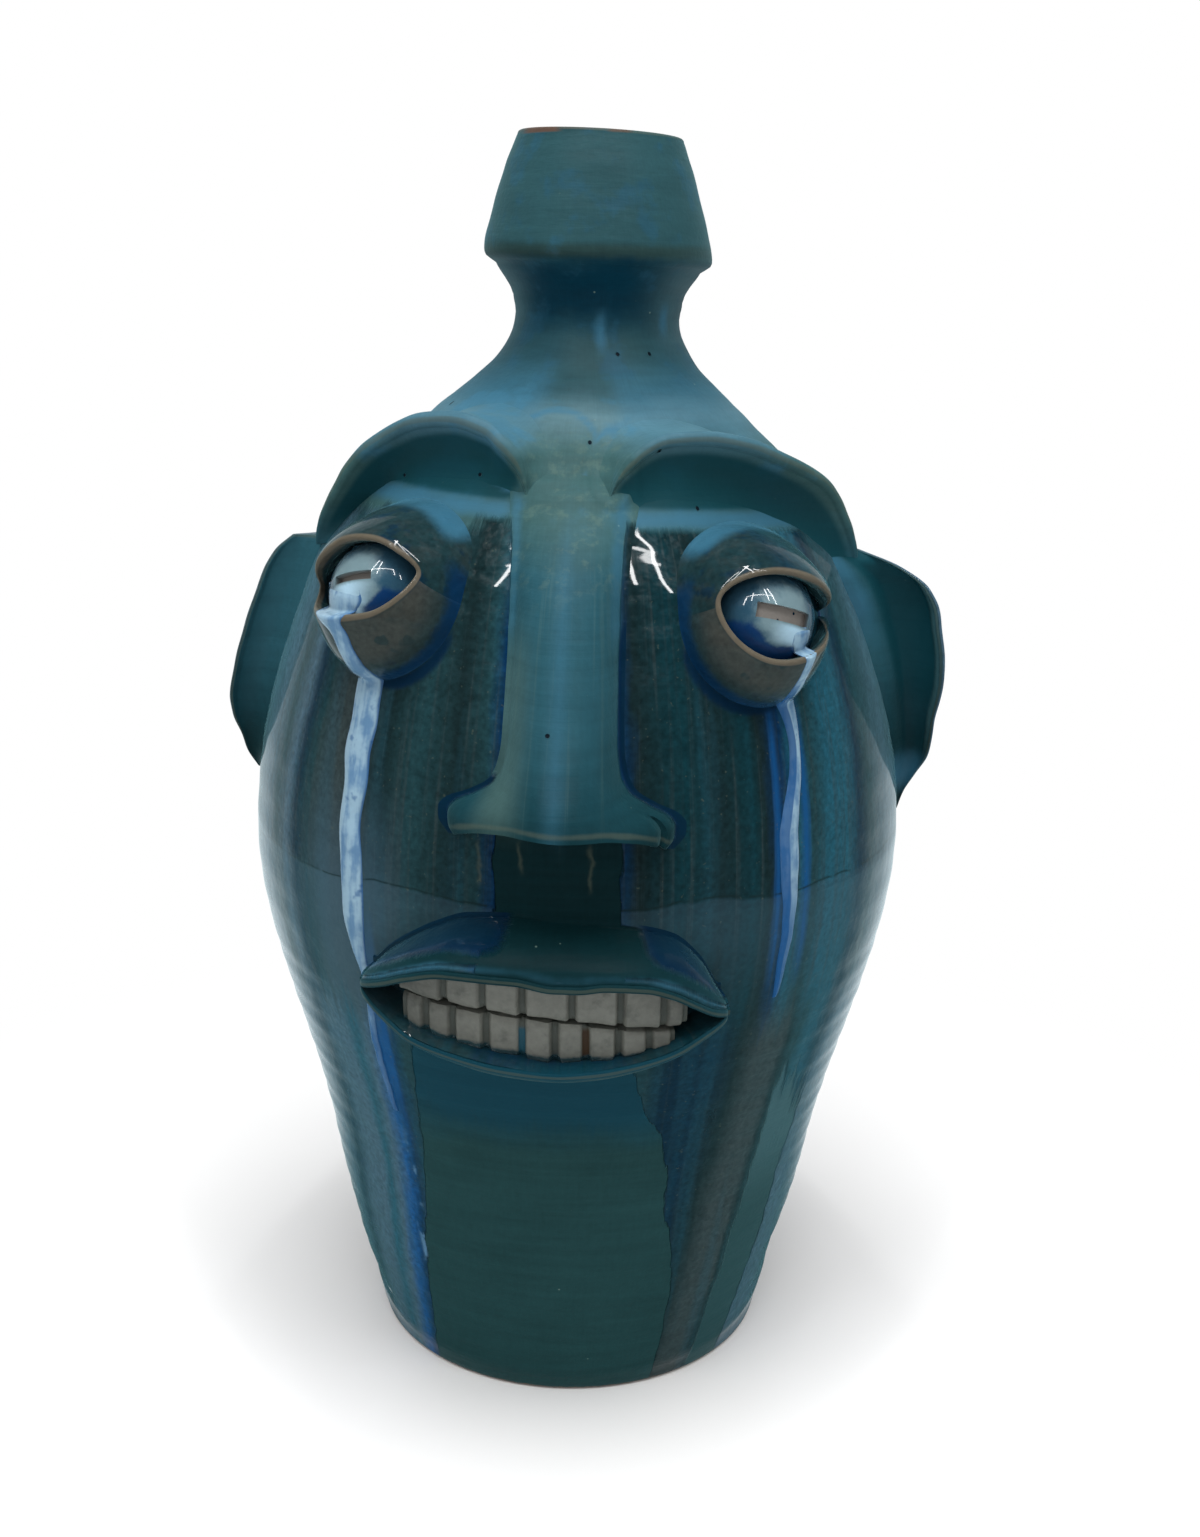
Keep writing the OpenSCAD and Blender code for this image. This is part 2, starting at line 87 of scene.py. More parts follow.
def curve(*points):
    """A smooth function through (x, y) points, flat beyond its ends."""
    xs = [p[0] for p in points]
    ys = [p[1] for p in points]
    steps = [(ys[i + 1] - ys[i]) / (xs[i + 1] - xs[i]) for i in range(len(xs) - 1)]
    slopes = [steps[0]]
    for before, after in zip(steps, steps[1:]):
        same_way = before * after > 0
        slopes.append(2 * before * after / (before + after) if same_way else 0.0)
    slopes.append(steps[-1])

    def value(x):
        if x <= xs[0]:
            return ys[0]
        if x >= xs[-1]:
            return ys[-1]
        low, high = 0, len(xs) - 1
        while high - low > 1:
            middle = (low + high) // 2
            low, high = (middle, high) if xs[middle] <= x else (low, middle)
        h = xs[high] - xs[low]
        t = (x - xs[low]) / h
        return (
            (2 * t**3 - 3 * t**2 + 1) * ys[low]
            + (t**3 - 2 * t**2 + t) * h * slopes[low]
            + (3 * t**2 - 2 * t**3) * ys[high]
            + (t**3 - t**2) * h * slopes[high]
        )

    return value


def path(*rows):
    """A smooth function of u, from 0 to 1, through evenly spaced rows of numbers."""
    last = len(rows) - 1
    columns = [curve(*((i / last, row[k]) for i, row in enumerate(rows))) for k in range(len(rows[0]))]
    return lambda u: [column(u) for column in columns]


def bezier(t, start, control, end):
    return start * (1 - t) ** 2 + control * (2 * t * (1 - t)) + end * t * t


def tabled(function, low, high, count=1200):
    """The same function, looked up between samples taken once."""
    samples = [function(mix(low, high, i / count)) for i in range(count + 2)]

    def value(x):
        place = clamp((x - low) / (high - low)) * count
        i = int(place)
        return mix(samples[i], samples[i + 1], place - i)

    return value


# %% [markdown]
# ## The wall
# Every piece of the face follows the wall of the pot, so its radius at each height is read from the packed
# solids, once for the outside and once for the inside. A hand-thrown wall isn't perfect: it has throwing
# rings, a few dents low on the sides, and a neck that leans a little to one side.

# %% The wall of the pot
def rings_of(node, outside):
    """Radius at each height where a solid's faces look away from the axis, or towards it."""
    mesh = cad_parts[node].data
    rings = {}
    for face in mesh.polygons:
        away = face.normal.x * face.center.x + face.normal.y * face.center.y
        if (away > 0) != outside or abs(away) < 0.05 * math.hypot(face.center.x, face.center.y):
            continue
        for index in face.vertices:
            point = mesh.vertices[index].co
            rings[round(point.z, 5)] = math.hypot(point.x, point.y)
    return sorted(rings.items())


wall_rings = sorted({**dict(rings_of("body", True)), **dict(rings_of("neck_collar", True))}.items())
inner_rings = sorted({**dict(rings_of("body", False)), **dict(rings_of("neck_collar", False))}.items())
packed_r = curve(*wall_rings)
trim = curve(
    (0, 0.8), (8, 1.1), (26, 1.3), (40, 1.1), (55, 0.4), (75, 0.4), (100, 0.3), (125, 0.3), (145, 1.0),
    (165, 1.6), (183, 1.5), (196, 0.6), (205, 0.2), (214, 0.8), (220, -0.8), (224, -1.7), (229, -1.4),
    (233, -0.6), (237, 0.4), (241, 0.4), (246, 0.3), (250, 0.7), (257, 0.8), (263, 0.7), (268, 0.2),
    (270, 0.1),
)
wall_r = tabled(lambda z: packed_r(z) + trim(z / MM) * MM, 0, wall_rings[-1][0])
inner_r = tabled(curve(*inner_rings), 0, wall_rings[-1][0])
BODY_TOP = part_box("body")[1].z
RIM_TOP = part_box("neck_collar")[1].z
FLOOR_TOP = 7 * MM
print(len(wall_rings), "rings outside and", len(inner_rings), "inside, seam at", round(BODY_TOP, 4))

EYE_Z = BODY_TOP - 37 * MM
EYE_S = 37.8 * MM
LEFT_EYE_OUT = 1.9 * MM
FACE_TURN = math.radians(-3.6)
FACE_TILT = math.tan(math.radians(2.2))
LEAN_FROM = 198 * MM
LEAN_OVER = 26 * MM
LEAN_BY = 2.3 * MM
RIM_DROP = math.radians(1.9)
LOBES = ((-12.0, 208.0, 12.5, 6.2), (6.8, 204.5, 6.0, 6.4))


def lobe_reach(a, z):
    """How far a point lies from the nearest pressed lobe of the forehead: 1 on its outline."""
    turn = math.degrees(a)
    return min(math.hypot((turn - at) / wide, (z / MM - up) / tall) for at, up, wide, tall in LOBES)


def relief(a, z):
    """Throwing rings, fine on the chin and broader above, and the dents of the potter's hands."""
    sway = 0.6 * math.sin(a) + 0.4 * math.sin(2 * a + 1.1)
    rings = 0.06 * math.sin(2 * math.pi * z / (5.1 * MM) + sway) * smooth((112 * MM - z) / (20 * MM))
    rings += 0.05 * math.sin(2 * math.pi * z / (8.7 * MM) + 2 * sway)
    wide = 0.35 * noise.noise(Vector((math.sin(a) * 1.3, math.cos(a) * 1.3, z / (45 * MM))))
    dents = -0.8 * bump(math.degrees(a), 74, 14) * bump(z, 20 * MM, 13 * MM)
    dents -= 0.7 * bump(math.degrees(a), -70, 16) * bump(z, 10 * MM, 9 * MM)
    dents += 0.8 * smooth((1.15 - lobe_reach(a, z)) / 0.35)
    return (rings + wide + dents) * MM * smooth(z / (6 * MM)) * smooth((RIM_TOP - z) / (8 * MM))


def on_wall(a, z, out=0.0):
    """A point at an angle from the front and a height, some way out from the wall."""
    r = wall_r(z) + relief(a, z) + out
    return Vector((r * math.sin(a), -r * math.cos(a), z))


def on_face(s, z, out=0.0):
    """The same by the distance along the wall from the middle of the face, with its turn and tilt."""
    return on_wall(FACE_TURN + s / wall_r(z), z - s * FACE_TILT, out)


def lean(point):
    """The neck leans to the jug's left: what is above the shoulder moves over and tips."""
    t = smooth((point.z - LEAN_FROM) / LEAN_OVER)
    x = point.x
    point.x += LEAN_BY * t
    point.z -= math.sin(RIM_DROP) * x * t
    return point


# %% [markdown]
# ## Making a piece
# Each piece of applied clay is a closed solid between two sheets: the front that shows and the back that
# lies in the wall. A grid is extruded once, which gives both sheets and the strip round their edge, and
# then the vertices of each sheet are moved to their places, as clay is pushed into shape. The finish needs
# to know where glaze pools, where it is thin and where it stays matt, so each vertex carries these looks.

# %% Piece helpers
# deep: painted shade in hollows and under brows on the teal glaze; brown lower lids; bluer edges of eyeballs
LOOKS = ("matt", "pool", "thin", "haze", "deep")
slots = {}
CREASE = math.radians(55)


def new_layers(mesh):
    return {look: mesh.verts.layers.float.new(look) for look in LOOKS}


def dress(vert, layers, looks):
    for look, amount in looks.items():
        vert[layers[look]] = clamp(amount)


def as_object(mesh, name):
    """Frees the mesh under work and links an object made from it, untransformed at the origin."""
    data = bpy.data.meshes.new(name)
    mesh.to_mesh(data)
    mesh.free()
    made = bpy.data.objects.new(name, data)
    bpy.context.scene.collection.objects.link(made)
    return made


def finish_piece(mesh, name, slot, *nodes):
    """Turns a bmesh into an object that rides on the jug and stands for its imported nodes."""
    bmesh.ops.recalc_face_normals(mesh, faces=mesh.faces[:])
    for face in mesh.faces:
        face.smooth = True
    for edge in mesh.edges:
        edge.smooth = edge.smooth and edge.calc_face_angle(0) < CREASE
    for vert in mesh.verts:
        vert.co = lean(vert.co)
    triangles = sum(len(face.verts) - 2 for face in mesh.faces)
    open_edges = sum(1 for edge in mesh.edges if len(edge.link_faces) != 2)
    piece = as_object(mesh, name)
    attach(piece, "root")
    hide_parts(*nodes)
    slots.setdefault(slot, []).append(piece)
    print(f"{name}: {triangles} triangles, {open_edges} open edges")
    return piece


def clay(name, slot, node, cols, rows, front, back):
    """A closed piece between two sheets. front(u, v) gives a point and its looks, back(u, v) a point."""
    mesh = bmesh.new()
    layers = new_layers(mesh)
    bmesh.ops.create_grid(mesh, x_segments=cols, y_segments=rows, size=0.5)
    made = bmesh.ops.extrude_face_region(mesh, geom=mesh.faces[:], use_keep_orig=True)
    fronts = {item for item in made["geom"] if isinstance(item, bmesh.types.BMVert)}
    for vert in mesh.verts:
        u, v = vert.co.x + 0.5, vert.co.y + 0.5
        if vert in fronts:
            vert.co, looks = front(u, v)
            dress(vert, layers, looks)
        else:
            vert.co = back(u, v)
    return finish_piece(mesh, name, slot, node)


# %% [markdown]
# ## The thrown body
# A pot comes off the wheel as a body of revolution, and so does its mesh: the outline of the wall, its
# floor and its inside is spun round the axis. The foot has a small bevel and a shallow hollow underneath,
# as a trimmed foot has. After the spin, the vertices of the outside take the rings and dents of the wall.

# %% Body and neck
def spun(outline, steps):
    """A sheet of revolution from an outline of (radius, height) points."""
    mesh = bmesh.new()
    verts = [mesh.verts.new((0, -r, z)) for r, z in outline]
    edges = [mesh.edges.new(pair) for pair in zip(verts, verts[1:])]
    bmesh.ops.spin(mesh, geom=verts + edges, axis=(0, 0, 1), angle=2 * math.pi, steps=steps, use_merge=True)
    return mesh


def thrown(outline, steps):
    """A solid of revolution: the ends of its outline lie on the axis or on each other."""
    mesh = spun(outline, steps)
    bmesh.ops.remove_doubles(mesh, verts=mesh.verts[:], dist=1e-6)
    return mesh


def wall_outline(low, high, step):
    count = round((high - low) / step)
    return [(wall_r(mix(low, high, i / count)), mix(low, high, i / count)) for i in range(count + 1)]


BODY_STEPS = 288
foot_r = wall_r(0)
FOOT_BEVEL = 0.9 * MM
FOOT_RING = 9 * MM
FOOT_HOLLOW = 0.8 * MM


def body_outline():
    under = [(0, FOOT_HOLLOW), (foot_r - FOOT_RING, FOOT_HOLLOW), (foot_r - FOOT_RING + FOOT_HOLLOW, 0)]
    under += [(foot_r * 0.94, 0), (foot_r - FOOT_BEVEL, 0), (foot_r - FOOT_BEVEL * 0.3, FOOT_BEVEL * 0.3)]
    inside = [(inner_r(z), z) for z in (mix(BODY_TOP, FLOOR_TOP + 5 * MM, i / 24) for i in range(25))]
    return under + wall_outline(FOOT_BEVEL, BODY_TOP, 0.94 * MM) + inside + [
        (inner_r(12 * MM) - 1.5 * MM, FLOOR_TOP + 1.5 * MM),
        (inner_r(12 * MM) - 5 * MM, FLOOR_TOP),
        (0, FLOOR_TOP),
    ]


def body_looks(a, z):
    """The glaze's looks on the bare wall: matt and hazy over the shoulder, glossy on the cheeks."""
    shoulder = smooth((z - 196 * MM) / (6 * MM))
    s = (a - FACE_TURN) * wall_r(z)
    level = z + s * FACE_TILT - EYE_Z
    socket = math.hypot(abs(s) - EYE_S - (s > 0) * LEFT_EYE_OUT, level)
    mist = smooth((level - 13 * MM) / (6 * MM)) * smooth((27 * MM - level) / (4 * MM))
    mist *= smooth((abs(s) - 9 * MM) / (4 * MM)) * smooth((74 * MM - abs(s)) / (8 * MM))
    haze = bump(level, 17.5 * MM, 4 * MM) * mist
    reach = lobe_reach(a, z)
    return {
        "matt": max(shoulder, mist),
        # pool: partly glaze pooled round the foot of the eye mounds, partly painted shade below them
        "pool": 0.8 * bump(socket, 16.3 * MM, 2.6 * MM) * smooth(-level / (8 * MM)),
        "thin": 0.7 * bump(reach, 0.9, 0.2),
        "haze": max(haze, 0.8 * bump(reach, 1.2, 0.22)),
        # deep: painted shade on the wall under the brows
        "deep": mist * smooth((level - 18.5 * MM) / (2.5 * MM)),
    }


def sharpen_seam(mesh):
    """Body and neck meet in a ring that is shaded as one wall, not rounded over the joint."""
    for edge in mesh.edges:
        if all(abs(vert.co.z - BODY_TOP) < 0.01 * MM for vert in edge.verts):
            edge.smooth = False


def make_body():
    mesh = thrown(body_outline(), BODY_STEPS)
    layers = new_layers(mesh)
    for vert in mesh.verts:
        x, y, z = vert.co
        r = math.hypot(x, y)
        if r > wall_r(z) - 0.05 * MM and z >= FOOT_BEVEL * 0.9:
            a = math.atan2(x, -y)
            vert.co = on_wall(a, z)
            dress(vert, layers, body_looks(a, z))
    sharpen_seam(mesh)
    return finish_piece(mesh, "thrown_body", "teal_glaze", "body")


NECK_STEPS = 224
RIM_ROUND = 0.7 * MM


def neck_outline():
    """Up the outside of the neck and collar, over the rim and down the throat."""
    outer = wall_outline(BODY_TOP, RIM_TOP - RIM_ROUND, 0.7 * MM)
    mouth = inner_r(RIM_TOP)
    rim = outer[-1][0]
    turn = [(rim - RIM_ROUND * (1 - math.cos(t)), RIM_TOP - RIM_ROUND * (1 - math.sin(t)))
            for t in (math.radians(15 * i) for i in range(1, 7))]
    lip = [(mouth + RIM_ROUND * (1 - math.sin(t)), RIM_TOP - RIM_ROUND * (1 - math.cos(t)))
           for t in (math.radians(18 * i) for i in range(6))]
    throat = [(inner_r(z), z) for z in (mix(RIM_TOP - RIM_ROUND, BODY_TOP, i / 30) for i in range(1, 31))]
    return outer + turn + lip + throat


def make_neck():
    outline = neck_outline()
    mesh = thrown(outline + outline[:1], NECK_STEPS)
    layers = new_layers(mesh)
    for vert in mesh.verts:
        x, y, z = vert.co
        a = math.atan2(x, -y)
        outside = math.hypot(x, y) > wall_r(z) - 0.05 * MM
        if outside and z < RIM_TOP - 2 * RIM_ROUND:
            vert.co = on_wall(a, z)
        rim = smooth((z - (RIM_TOP - 0.9 * MM)) / (0.6 * MM)) * smooth((math.hypot(x, y) - 13 * MM) / MM)
        edge = bump(z, 245.5 * MM, 2.5 * MM) * 0.5 if outside else 0
        dress(vert, layers, {"matt": 1, "thin": max(rim, edge)})
    sharpen_seam(mesh)
    return finish_piece(mesh, "neck_and_collar", "teal_glaze", "neck_collar")


body = make_body()
make_neck()

# %% [markdown]
# ## The nose
# The nose is one roll of clay, smoothed into the forehead at its root and spread into two wings over a flat
# underside. Across, it is a broad rounded ridge with a soft foot. The sheet runs past the ridge on both
# sides to carry that foot, and past its lower edge to carry the underside back to the wall.

# %% Nose
NOSE_TOP = 207
NOSE_MIDDLE = 1.1
NOSE_SKIRT = 1.42
UNDER_SHARE = 0.18
nose_half_w = curve(
    (135, 17.5), (138, 20.4), (140, 21.7), (142, 21.8), (144, 20.4), (146, 16.4), (148.5, 12.7),
    (151.5, 11.2), (157, 10.4), (179, 9.9), (190, 10.0), (198, 10.6), (207, 11.0),
)
nose_ridge = curve(
    (141, 17.2), (146, 16.6), (152, 14.0), (160, 11.0), (172, 8.8), (180, 7.4), (188, 5.2), (196, 2.8),
    (202, 1.2), (207, 0.2),
)
nose_low = curve(
    (0, 142.8), (0.3, 142.8), (0.55, 141.8), (0.75, 140.2), (0.92, 138.6), (1.1, 137.2), (1.42, 136.4),
)


def nose_out(across, z):
    """How far the nose stands out: a broad ridge above, two round wings below."""
    u = abs(across)
    low = smooth((152 - z) / 9)
    ridge = nose_ridge(z)
    if u >= 1:
        return ridge * (1 - u ** 2.4)
    body = ridge * (1 - u ** mix(2.5, 1.6, low))
    wing = 7.2 * low * (1 - u**6) ** 0.6
    notch = 1.8 * math.exp(-(((across - 0.83) / 0.035) ** 2)) * smooth((146 - z) / 2)
    return (body**3 + wing**3) ** (1 / 3) - notch


def nose_place(u, v):
    across = (2 * u - 1) * NOSE_SKIRT
    low = nose_low(abs(across))
    t = max(v - UNDER_SHARE, 0) / (1 - UNDER_SHARE)
    return across, mix(low, NOSE_TOP, t**1.2)


def nose_front(u, v):
    across, z = nose_place(u, v)
    tuck = clamp(v / UNDER_SHARE)
    out = fillet(nose_out(across, z), 0.5) * math.sin(math.pi / 2 * tuck) ** 0.8
    out -= 0.5 * smooth((abs(across) - 1.06) / 0.3) + 0.4 * (1 - tuck) + 1.3 * smooth((z - 200) / 6)
    z_here = z - 1.4 * (1 - tuck) * (abs(across) > 0.7) + 0.6 * (1 - tuck)
    point = on_face((across * nose_half_w(z) + NOSE_MIDDLE) * MM, z_here * MM, out * MM)
    root = smooth((206 - z) / 8)
    edge = bump(v, UNDER_SHARE + 0.03, 0.03) * (abs(across) < 0.98)
    beside = abs(across + 0.08)
    crease = bump(beside, 1.2, 0.2) * smooth((186 - z) / 14)
    wing_crease = bump(abs(across), 1.08, 0.16) * smooth((152 - z) / 5)
    looks = {
        "matt": 1 - smooth((beside - 0.98) / 0.2) * root,
        "pool": max(crease, wing_crease),
        "thin": edge * 0.8,
        "haze": 0.55 * bump(beside, 0.98, 0.3) * smooth((z - 166) / 14) * root,
    }
    return point, looks


def nose_back(u, v):
    across, z = nose_place(u, v)
    return on_face((across * nose_half_w(z) + NOSE_MIDDLE) * MM, z * MM, -1.8 * MM)


clay("nose_with_wings", "teal_glaze", "nose", 120, 150, nose_front, nose_back)

# %% [markdown]
# ## The brows
# Each brow is a slab that stands out over the eye like a visor: a shelf runs out from the shoulder to a
# rolled rim, and a hollow face runs back down to the socket. Its inner end is pressed flat towards the
# middle of the forehead. The same function makes both, with the angle from the middle of the face.

# %% Brows
RIGHT, LEFT = -1, 1
SHELF_END, RIM_END = 0.38, 0.56
right_rim = path(
    (9.6, 198.5, 0.1), (10.2, 201.5, 1.8), (12, 205, 5.5), (17, 208.8, 10.5), (23, 211.2, 13.5),
    (30, 212.2, 15.5), (39, 211.2, 16), (47, 208.8, 14.5), (56, 203, 12), (61.5, 195, 8.2),
    (66.5, 188.3, 4.9), (69, 183, 1.6),
)
right_top = path(
    (4, 198), (4, 204), (8, 209), (15, 212.6), (24, 214.2), (33, 214.6), (43, 213.6), (54, 211),
    (66, 205.5), (75, 197.5), (80, 190), (81, 182.5),
)
right_low = path(
    (10, 197), (13, 198.4), (16, 198.8), (20, 198.9), (26, 198.9), (33, 198.6), (40, 198.2), (46, 197.6),
    (52, 197.6), (58, 194.6), (63, 190), (66, 184),
)
left_rim = path(
    (9.2, 199, 0.1), (9.9, 202, 1.8), (12, 205.8, 6), (16, 209.5, 10.5), (22, 212.2, 13),
    (31.5, 213.2, 15.5), (41, 212.2, 15.5), (50.5, 209.4, 14), (60, 206, 12.8), (67, 201.4, 10.5),
    (71, 196.4, 7.8), (74, 190.4, 4.8), (75, 184.4, 1.8), (75, 179.5, 0.4),
)
left_top = path(
    (3, 198), (4, 205), (8, 210.4), (14, 213.6), (22, 215.2), (32, 215.8), (43, 215), (55, 212.6),
    (67, 208.4), (77, 202.5), (83, 196.5), (85, 189.5), (85, 183), (84, 178.5),
)
left_low = path(
    (10, 196), (11, 197), (14, 196.4), (19, 197), (25, 197.4), (31, 197.9), (38, 198.0), (44, 197.7),
    (50, 196.6), (56, 195), (62, 191.8), (67, 188.4), (70, 184.4), (71, 179.6),
)


def at_brow(side, a, z, out):
    """A point at an angle to one side of the middle of the face."""
    turn = math.radians(side * a)
    return on_wall(FACE_TURN + turn, (z - turn * wall_r(180 * MM) / MM * FACE_TILT) * MM, out * MM)


def make_brow(name, node, side, rim, top, low):
    """The slab leaves the shoulder along top, rolls over along rim and meets the socket along low."""

    def front(u, v):
        a, z, out = rim(u)
        crest = at_brow(side, a, z, out)
        start, end = at_brow(side, *top(u), -0.5), at_brow(side, *low(u), -0.5)
        away = Vector((crest.x, crest.y, 0)).normalized()
        rise = start - end
        rise = (rise - away * rise.dot(away)).normalized()
        bead = min(1.5, 0.2 + out * 0.18) * MM
        if v < SHELF_END:
            t = v / SHELF_END
            inner = crest - away * bead + rise * bead
            control = start.lerp(inner, 0.5) - rise * (inner - start).length * 0.1
            point = bezier(t, start, control, inner)
        elif v < RIM_END:
            t = math.pi * ((v - SHELF_END) / (RIM_END - SHELF_END) - 0.5)
            point = crest - away * bead * (1 - math.cos(t)) - rise * bead * math.sin(t)
        else:
            t = (v - RIM_END) / (1 - RIM_END)
            under = crest - away * bead - rise * bead
            control = under.lerp(end, 0.5) - away * out * 0.3 * MM
            point = bezier(t, under, control, end)
        strength = clamp(out / 7)
        looks = {
            "matt": 1 - smooth((v - 0.9) / 0.1),
            "thin": 1.2 * bump(v, 0.47, 0.045) * strength,
            "haze": 0.8 * smooth((v - 0.95) / 0.05) * strength,
            # deep: painted shade in the hollow under the brow's rim
            "deep": smooth((v - 0.54) / 0.14) * (1 - 0.7 * smooth((v - 0.93) / 0.07)) * strength,
        }
        return point, looks

    def back(u, v):
        (a, z), (b, y) = top(u), low(u)
        return at_brow(side, mix(a, b, v), mix(z, y, v), -1.8)

    return clay(name, "teal_glaze", node, 150, 84, front, back)


make_brow("right_brow_slab", "right_brow", RIGHT, right_rim, right_top, right_low)
make_brow("left_brow_slab", "left_brow", LEFT, left_rim, left_top, left_low)

# %% [markdown]
# ## The eyes
# Each eye is a ball pressed on the wall, two lids that make a mound round it, and a slit cut for the pupil.
# An eye has its own frame: its centre on the wall, two directions along the wall and an axis that points
# out and slightly up. The lids are shaped from the mound's base to the opening, where each edge rolls over.

# %% Eye frames
EYE_LIFT = math.radians(12)
BALL_R = 11 * MM
MOUND_R = 17 * MM
MOUND_H = 13.6 * MM
DOME_R = (MOUND_R**2 + MOUND_H**2) / (2 * MOUND_H)


class Eye:
    """The frame of one eye, with the opening of its lids in millimetres from the eye's axis.

    flow is where the melted glass crosses the ball and reach how far up it begins. slit gives the cut for
    the pupil: its place across and up, its tilt in degrees, and its width, height and depth.
    """

    def __init__(self, side, look_in, flow, reach, corners, upper, lower, slit):
        self.side, self.flow, self.reach, self.corners, self.slit = side, flow, reach, corners, slit
        self.upper, self.lower = upper, lower
        away = side * EYE_S + (side > 0) * LEFT_EYE_OUT
        turn = FACE_TURN + away / wall_r(EYE_Z) - math.radians(look_in)
        self.at = on_face(away, EYE_Z)
        self.across = Vector((math.cos(turn), math.sin(turn), -FACE_TILT)).normalized()
        out = math.cos(EYE_LIFT)
        self.axis = Vector((out * math.sin(turn), -out * math.cos(turn), math.sin(EYE_LIFT)))
        self.up = self.axis.cross(self.across).normalized()
        self.heights = {}

    def point(self, s, t, h):
        return self.at + s * self.across + t * self.up + h * self.axis

    def wall_h(self, s, t):
        """How far along the axis the wall lies behind or before the eye's own plane."""
        key = (round(s, 6), round(t, 6))
        if key not in self.heights:
            h = 0.0
            for _ in range(7):
                p = self.point(s, t, h)
                r = wall_r(p.z) + relief(math.atan2(p.x, -p.y), p.z)
                h -= 0.9 * (math.hypot(p.x, p.y) - r)
            self.heights[key] = h
        return self.heights[key]

    def opening(self, w, up):
        """The edge of the opening from its corner on the viewer's left (-1) to the other (1)."""
        (s0, t0), (s1, t1) = self.corners
        share = (w + 1) / 2
        height = up * (self.upper if up > 0 else self.lower)(w) * max(1 - w * w, 0) ** 0.5
        return Vector((mix(s0, s1, share), mix(t0, t1, share) + height)) * MM


def dome(d):
    return math.sqrt(max(DOME_R**2 - d * d, 0)) - DOME_R + MOUND_H


def ball_h(d, r=BALL_R):
    return math.sqrt(max(r * r - d * d, 0))


eyes = {
    "right": Eye(
        RIGHT,
        look_in=-3,
        flow=-1.0,
        reach=12,
        corners=((-14.0, -1.4), (12.0, 4.8)),
        upper=curve((-1, 4.6), (-0.6, 6.4), (-0.2, 7.6), (0.3, 7.4), (1, 5.4)),
        lower=curve((-1, 6.0), (-0.3, 6.6), (0.3, 7.4), (0.7, 8.6), (1, 9.0)),
        slit=(-0.2, 2.4, 18, 8.8, 1.8, 1.8),
    ),
    "left": Eye(
        LEFT,
        look_in=12,
        flow=3.0,
        reach=6.2,
        corners=((-12.0, 2.6), (17.2, 1.2)),
        upper=curve((-1, 6.8), (-0.3, 6.4), (0.2, 5.4), (1, 2.2)),
        lower=curve((-1, 10.8), (-0.5, 10.6), (0, 9.6), (0.5, 7.6), (1, 3.4)),
        slit=(0.4, 0.6, -13, 11.4, 2.9, 1.5),
    ),
}
print({eye_name: tuple(round(part, 4) for part in eye.at) for eye_name, eye in eyes.items()})

# %% Lids
LID_SKIRT = 1.2 * MM
BROW_SKIRT = 5.5 * MM
LID_ROLL = 1.05 * MM
ROLL_SHARE = 0.24
ROLL_TURN = math.pi * 0.62
CORNER_EASE = 0.96


def lid_point(eye, up, u, v, front):
    """A lid runs from the mound's foot to the edge of the opening, where its last part rolls over."""
    w = 2 * u - 1
    turn = math.pi / 2 * w
    direction = Vector((math.sin(turn), up * math.cos(turn)))
    above = smooth(direction.y * 1.3)
    crown = smooth((direction.y - 0.5) / 0.35)
    base = direction * (MOUND_R + mix(LID_SKIRT, BROW_SKIRT, above))
    edge = eye.opening(math.sin(turn * CORNER_EASE) / math.sin(math.pi / 2 * CORNER_EASE), up)
    inward = (edge - base).normalized()
    start = edge - inward * LID_ROLL
    if v < 1 - ROLL_SHARE:
        flat = base.lerp(start, v / (1 - ROLL_SHARE))
        roll = 0.0
    else:
        roll = (v - (1 - ROLL_SHARE)) / ROLL_SHARE
        flat = start + inward * LID_ROLL * math.sin(ROLL_TURN * roll)
    drop = LID_ROLL * (1 - math.cos(ROLL_TURN * roll))
    d = flat.length
    wall = eye.wall_h(flat.x, flat.y)
    if front:
        soft = mix(0.5, 3.0, above) * MM
        reach = MOUND_R + mix(0, 2.5 * MM, above)
        cap = dome(d * MOUND_R / reach)
        rise = cap - wall * smooth((reach - d) / (10 * MM))
        swell = 0.8 * MM * math.exp(-(((d - start.length) / (2.4 * MM)) ** 2))
        past_mound = d - MOUND_R - 0.2 * MM
        sink = mix(0.5, 2.3, above) * MM * smooth(past_mound / (base.length - MOUND_R - 0.2 * MM))
        h = wall + fillet(rise, soft) - soft * 0.55 + swell - sink - drop
        lip = smooth((v - 0.7) / 0.08)
        looks = {
            "matt": smooth((d - MOUND_R - 2 * MM) / (3 * MM)) * crown,
            "pool": bump(d, MOUND_R + 0.3 * MM, 2.2 * MM) * (1 - above),
            "thin": lip,
            "haze": crown * smooth((d - MOUND_R + MM) / (3 * MM)),
            "deep": (up < 0) * smooth((MOUND_R - d) / (4 * MM)) * (1 - lip),
        }
        return eye.point(flat.x, flat.y, h), looks
    under = wall - 1.6 * MM
    deep = max(under, min(ball_h(d) + 0.4 * MM, dome(d) - 2.6 * MM))
    deep = mix(deep, under, smooth((d - 13 * MM) / (2.5 * MM)))
    edge_back = dome(start.length) - 2.4 * LID_ROLL
    return eye.point(flat.x, flat.y, mix(deep, edge_back, smooth((v - 0.5) / 0.5)))


def make_lid(name, eye, up):
    return clay(
        name + "_fold",
        "lid_glaze",
        name,
        110,
        64,
        lambda u, v: lid_point(eye, up, u, v, True),
        lambda u, v: lid_point(eye, up, u, v, False),
    )


eye_pieces = {
    eye_name: [make_lid(eye_name + "_upper_lid", eye, 1), make_lid(eye_name + "_lower_lid", eye, -1)]
    for eye_name, eye in eyes.items()
}


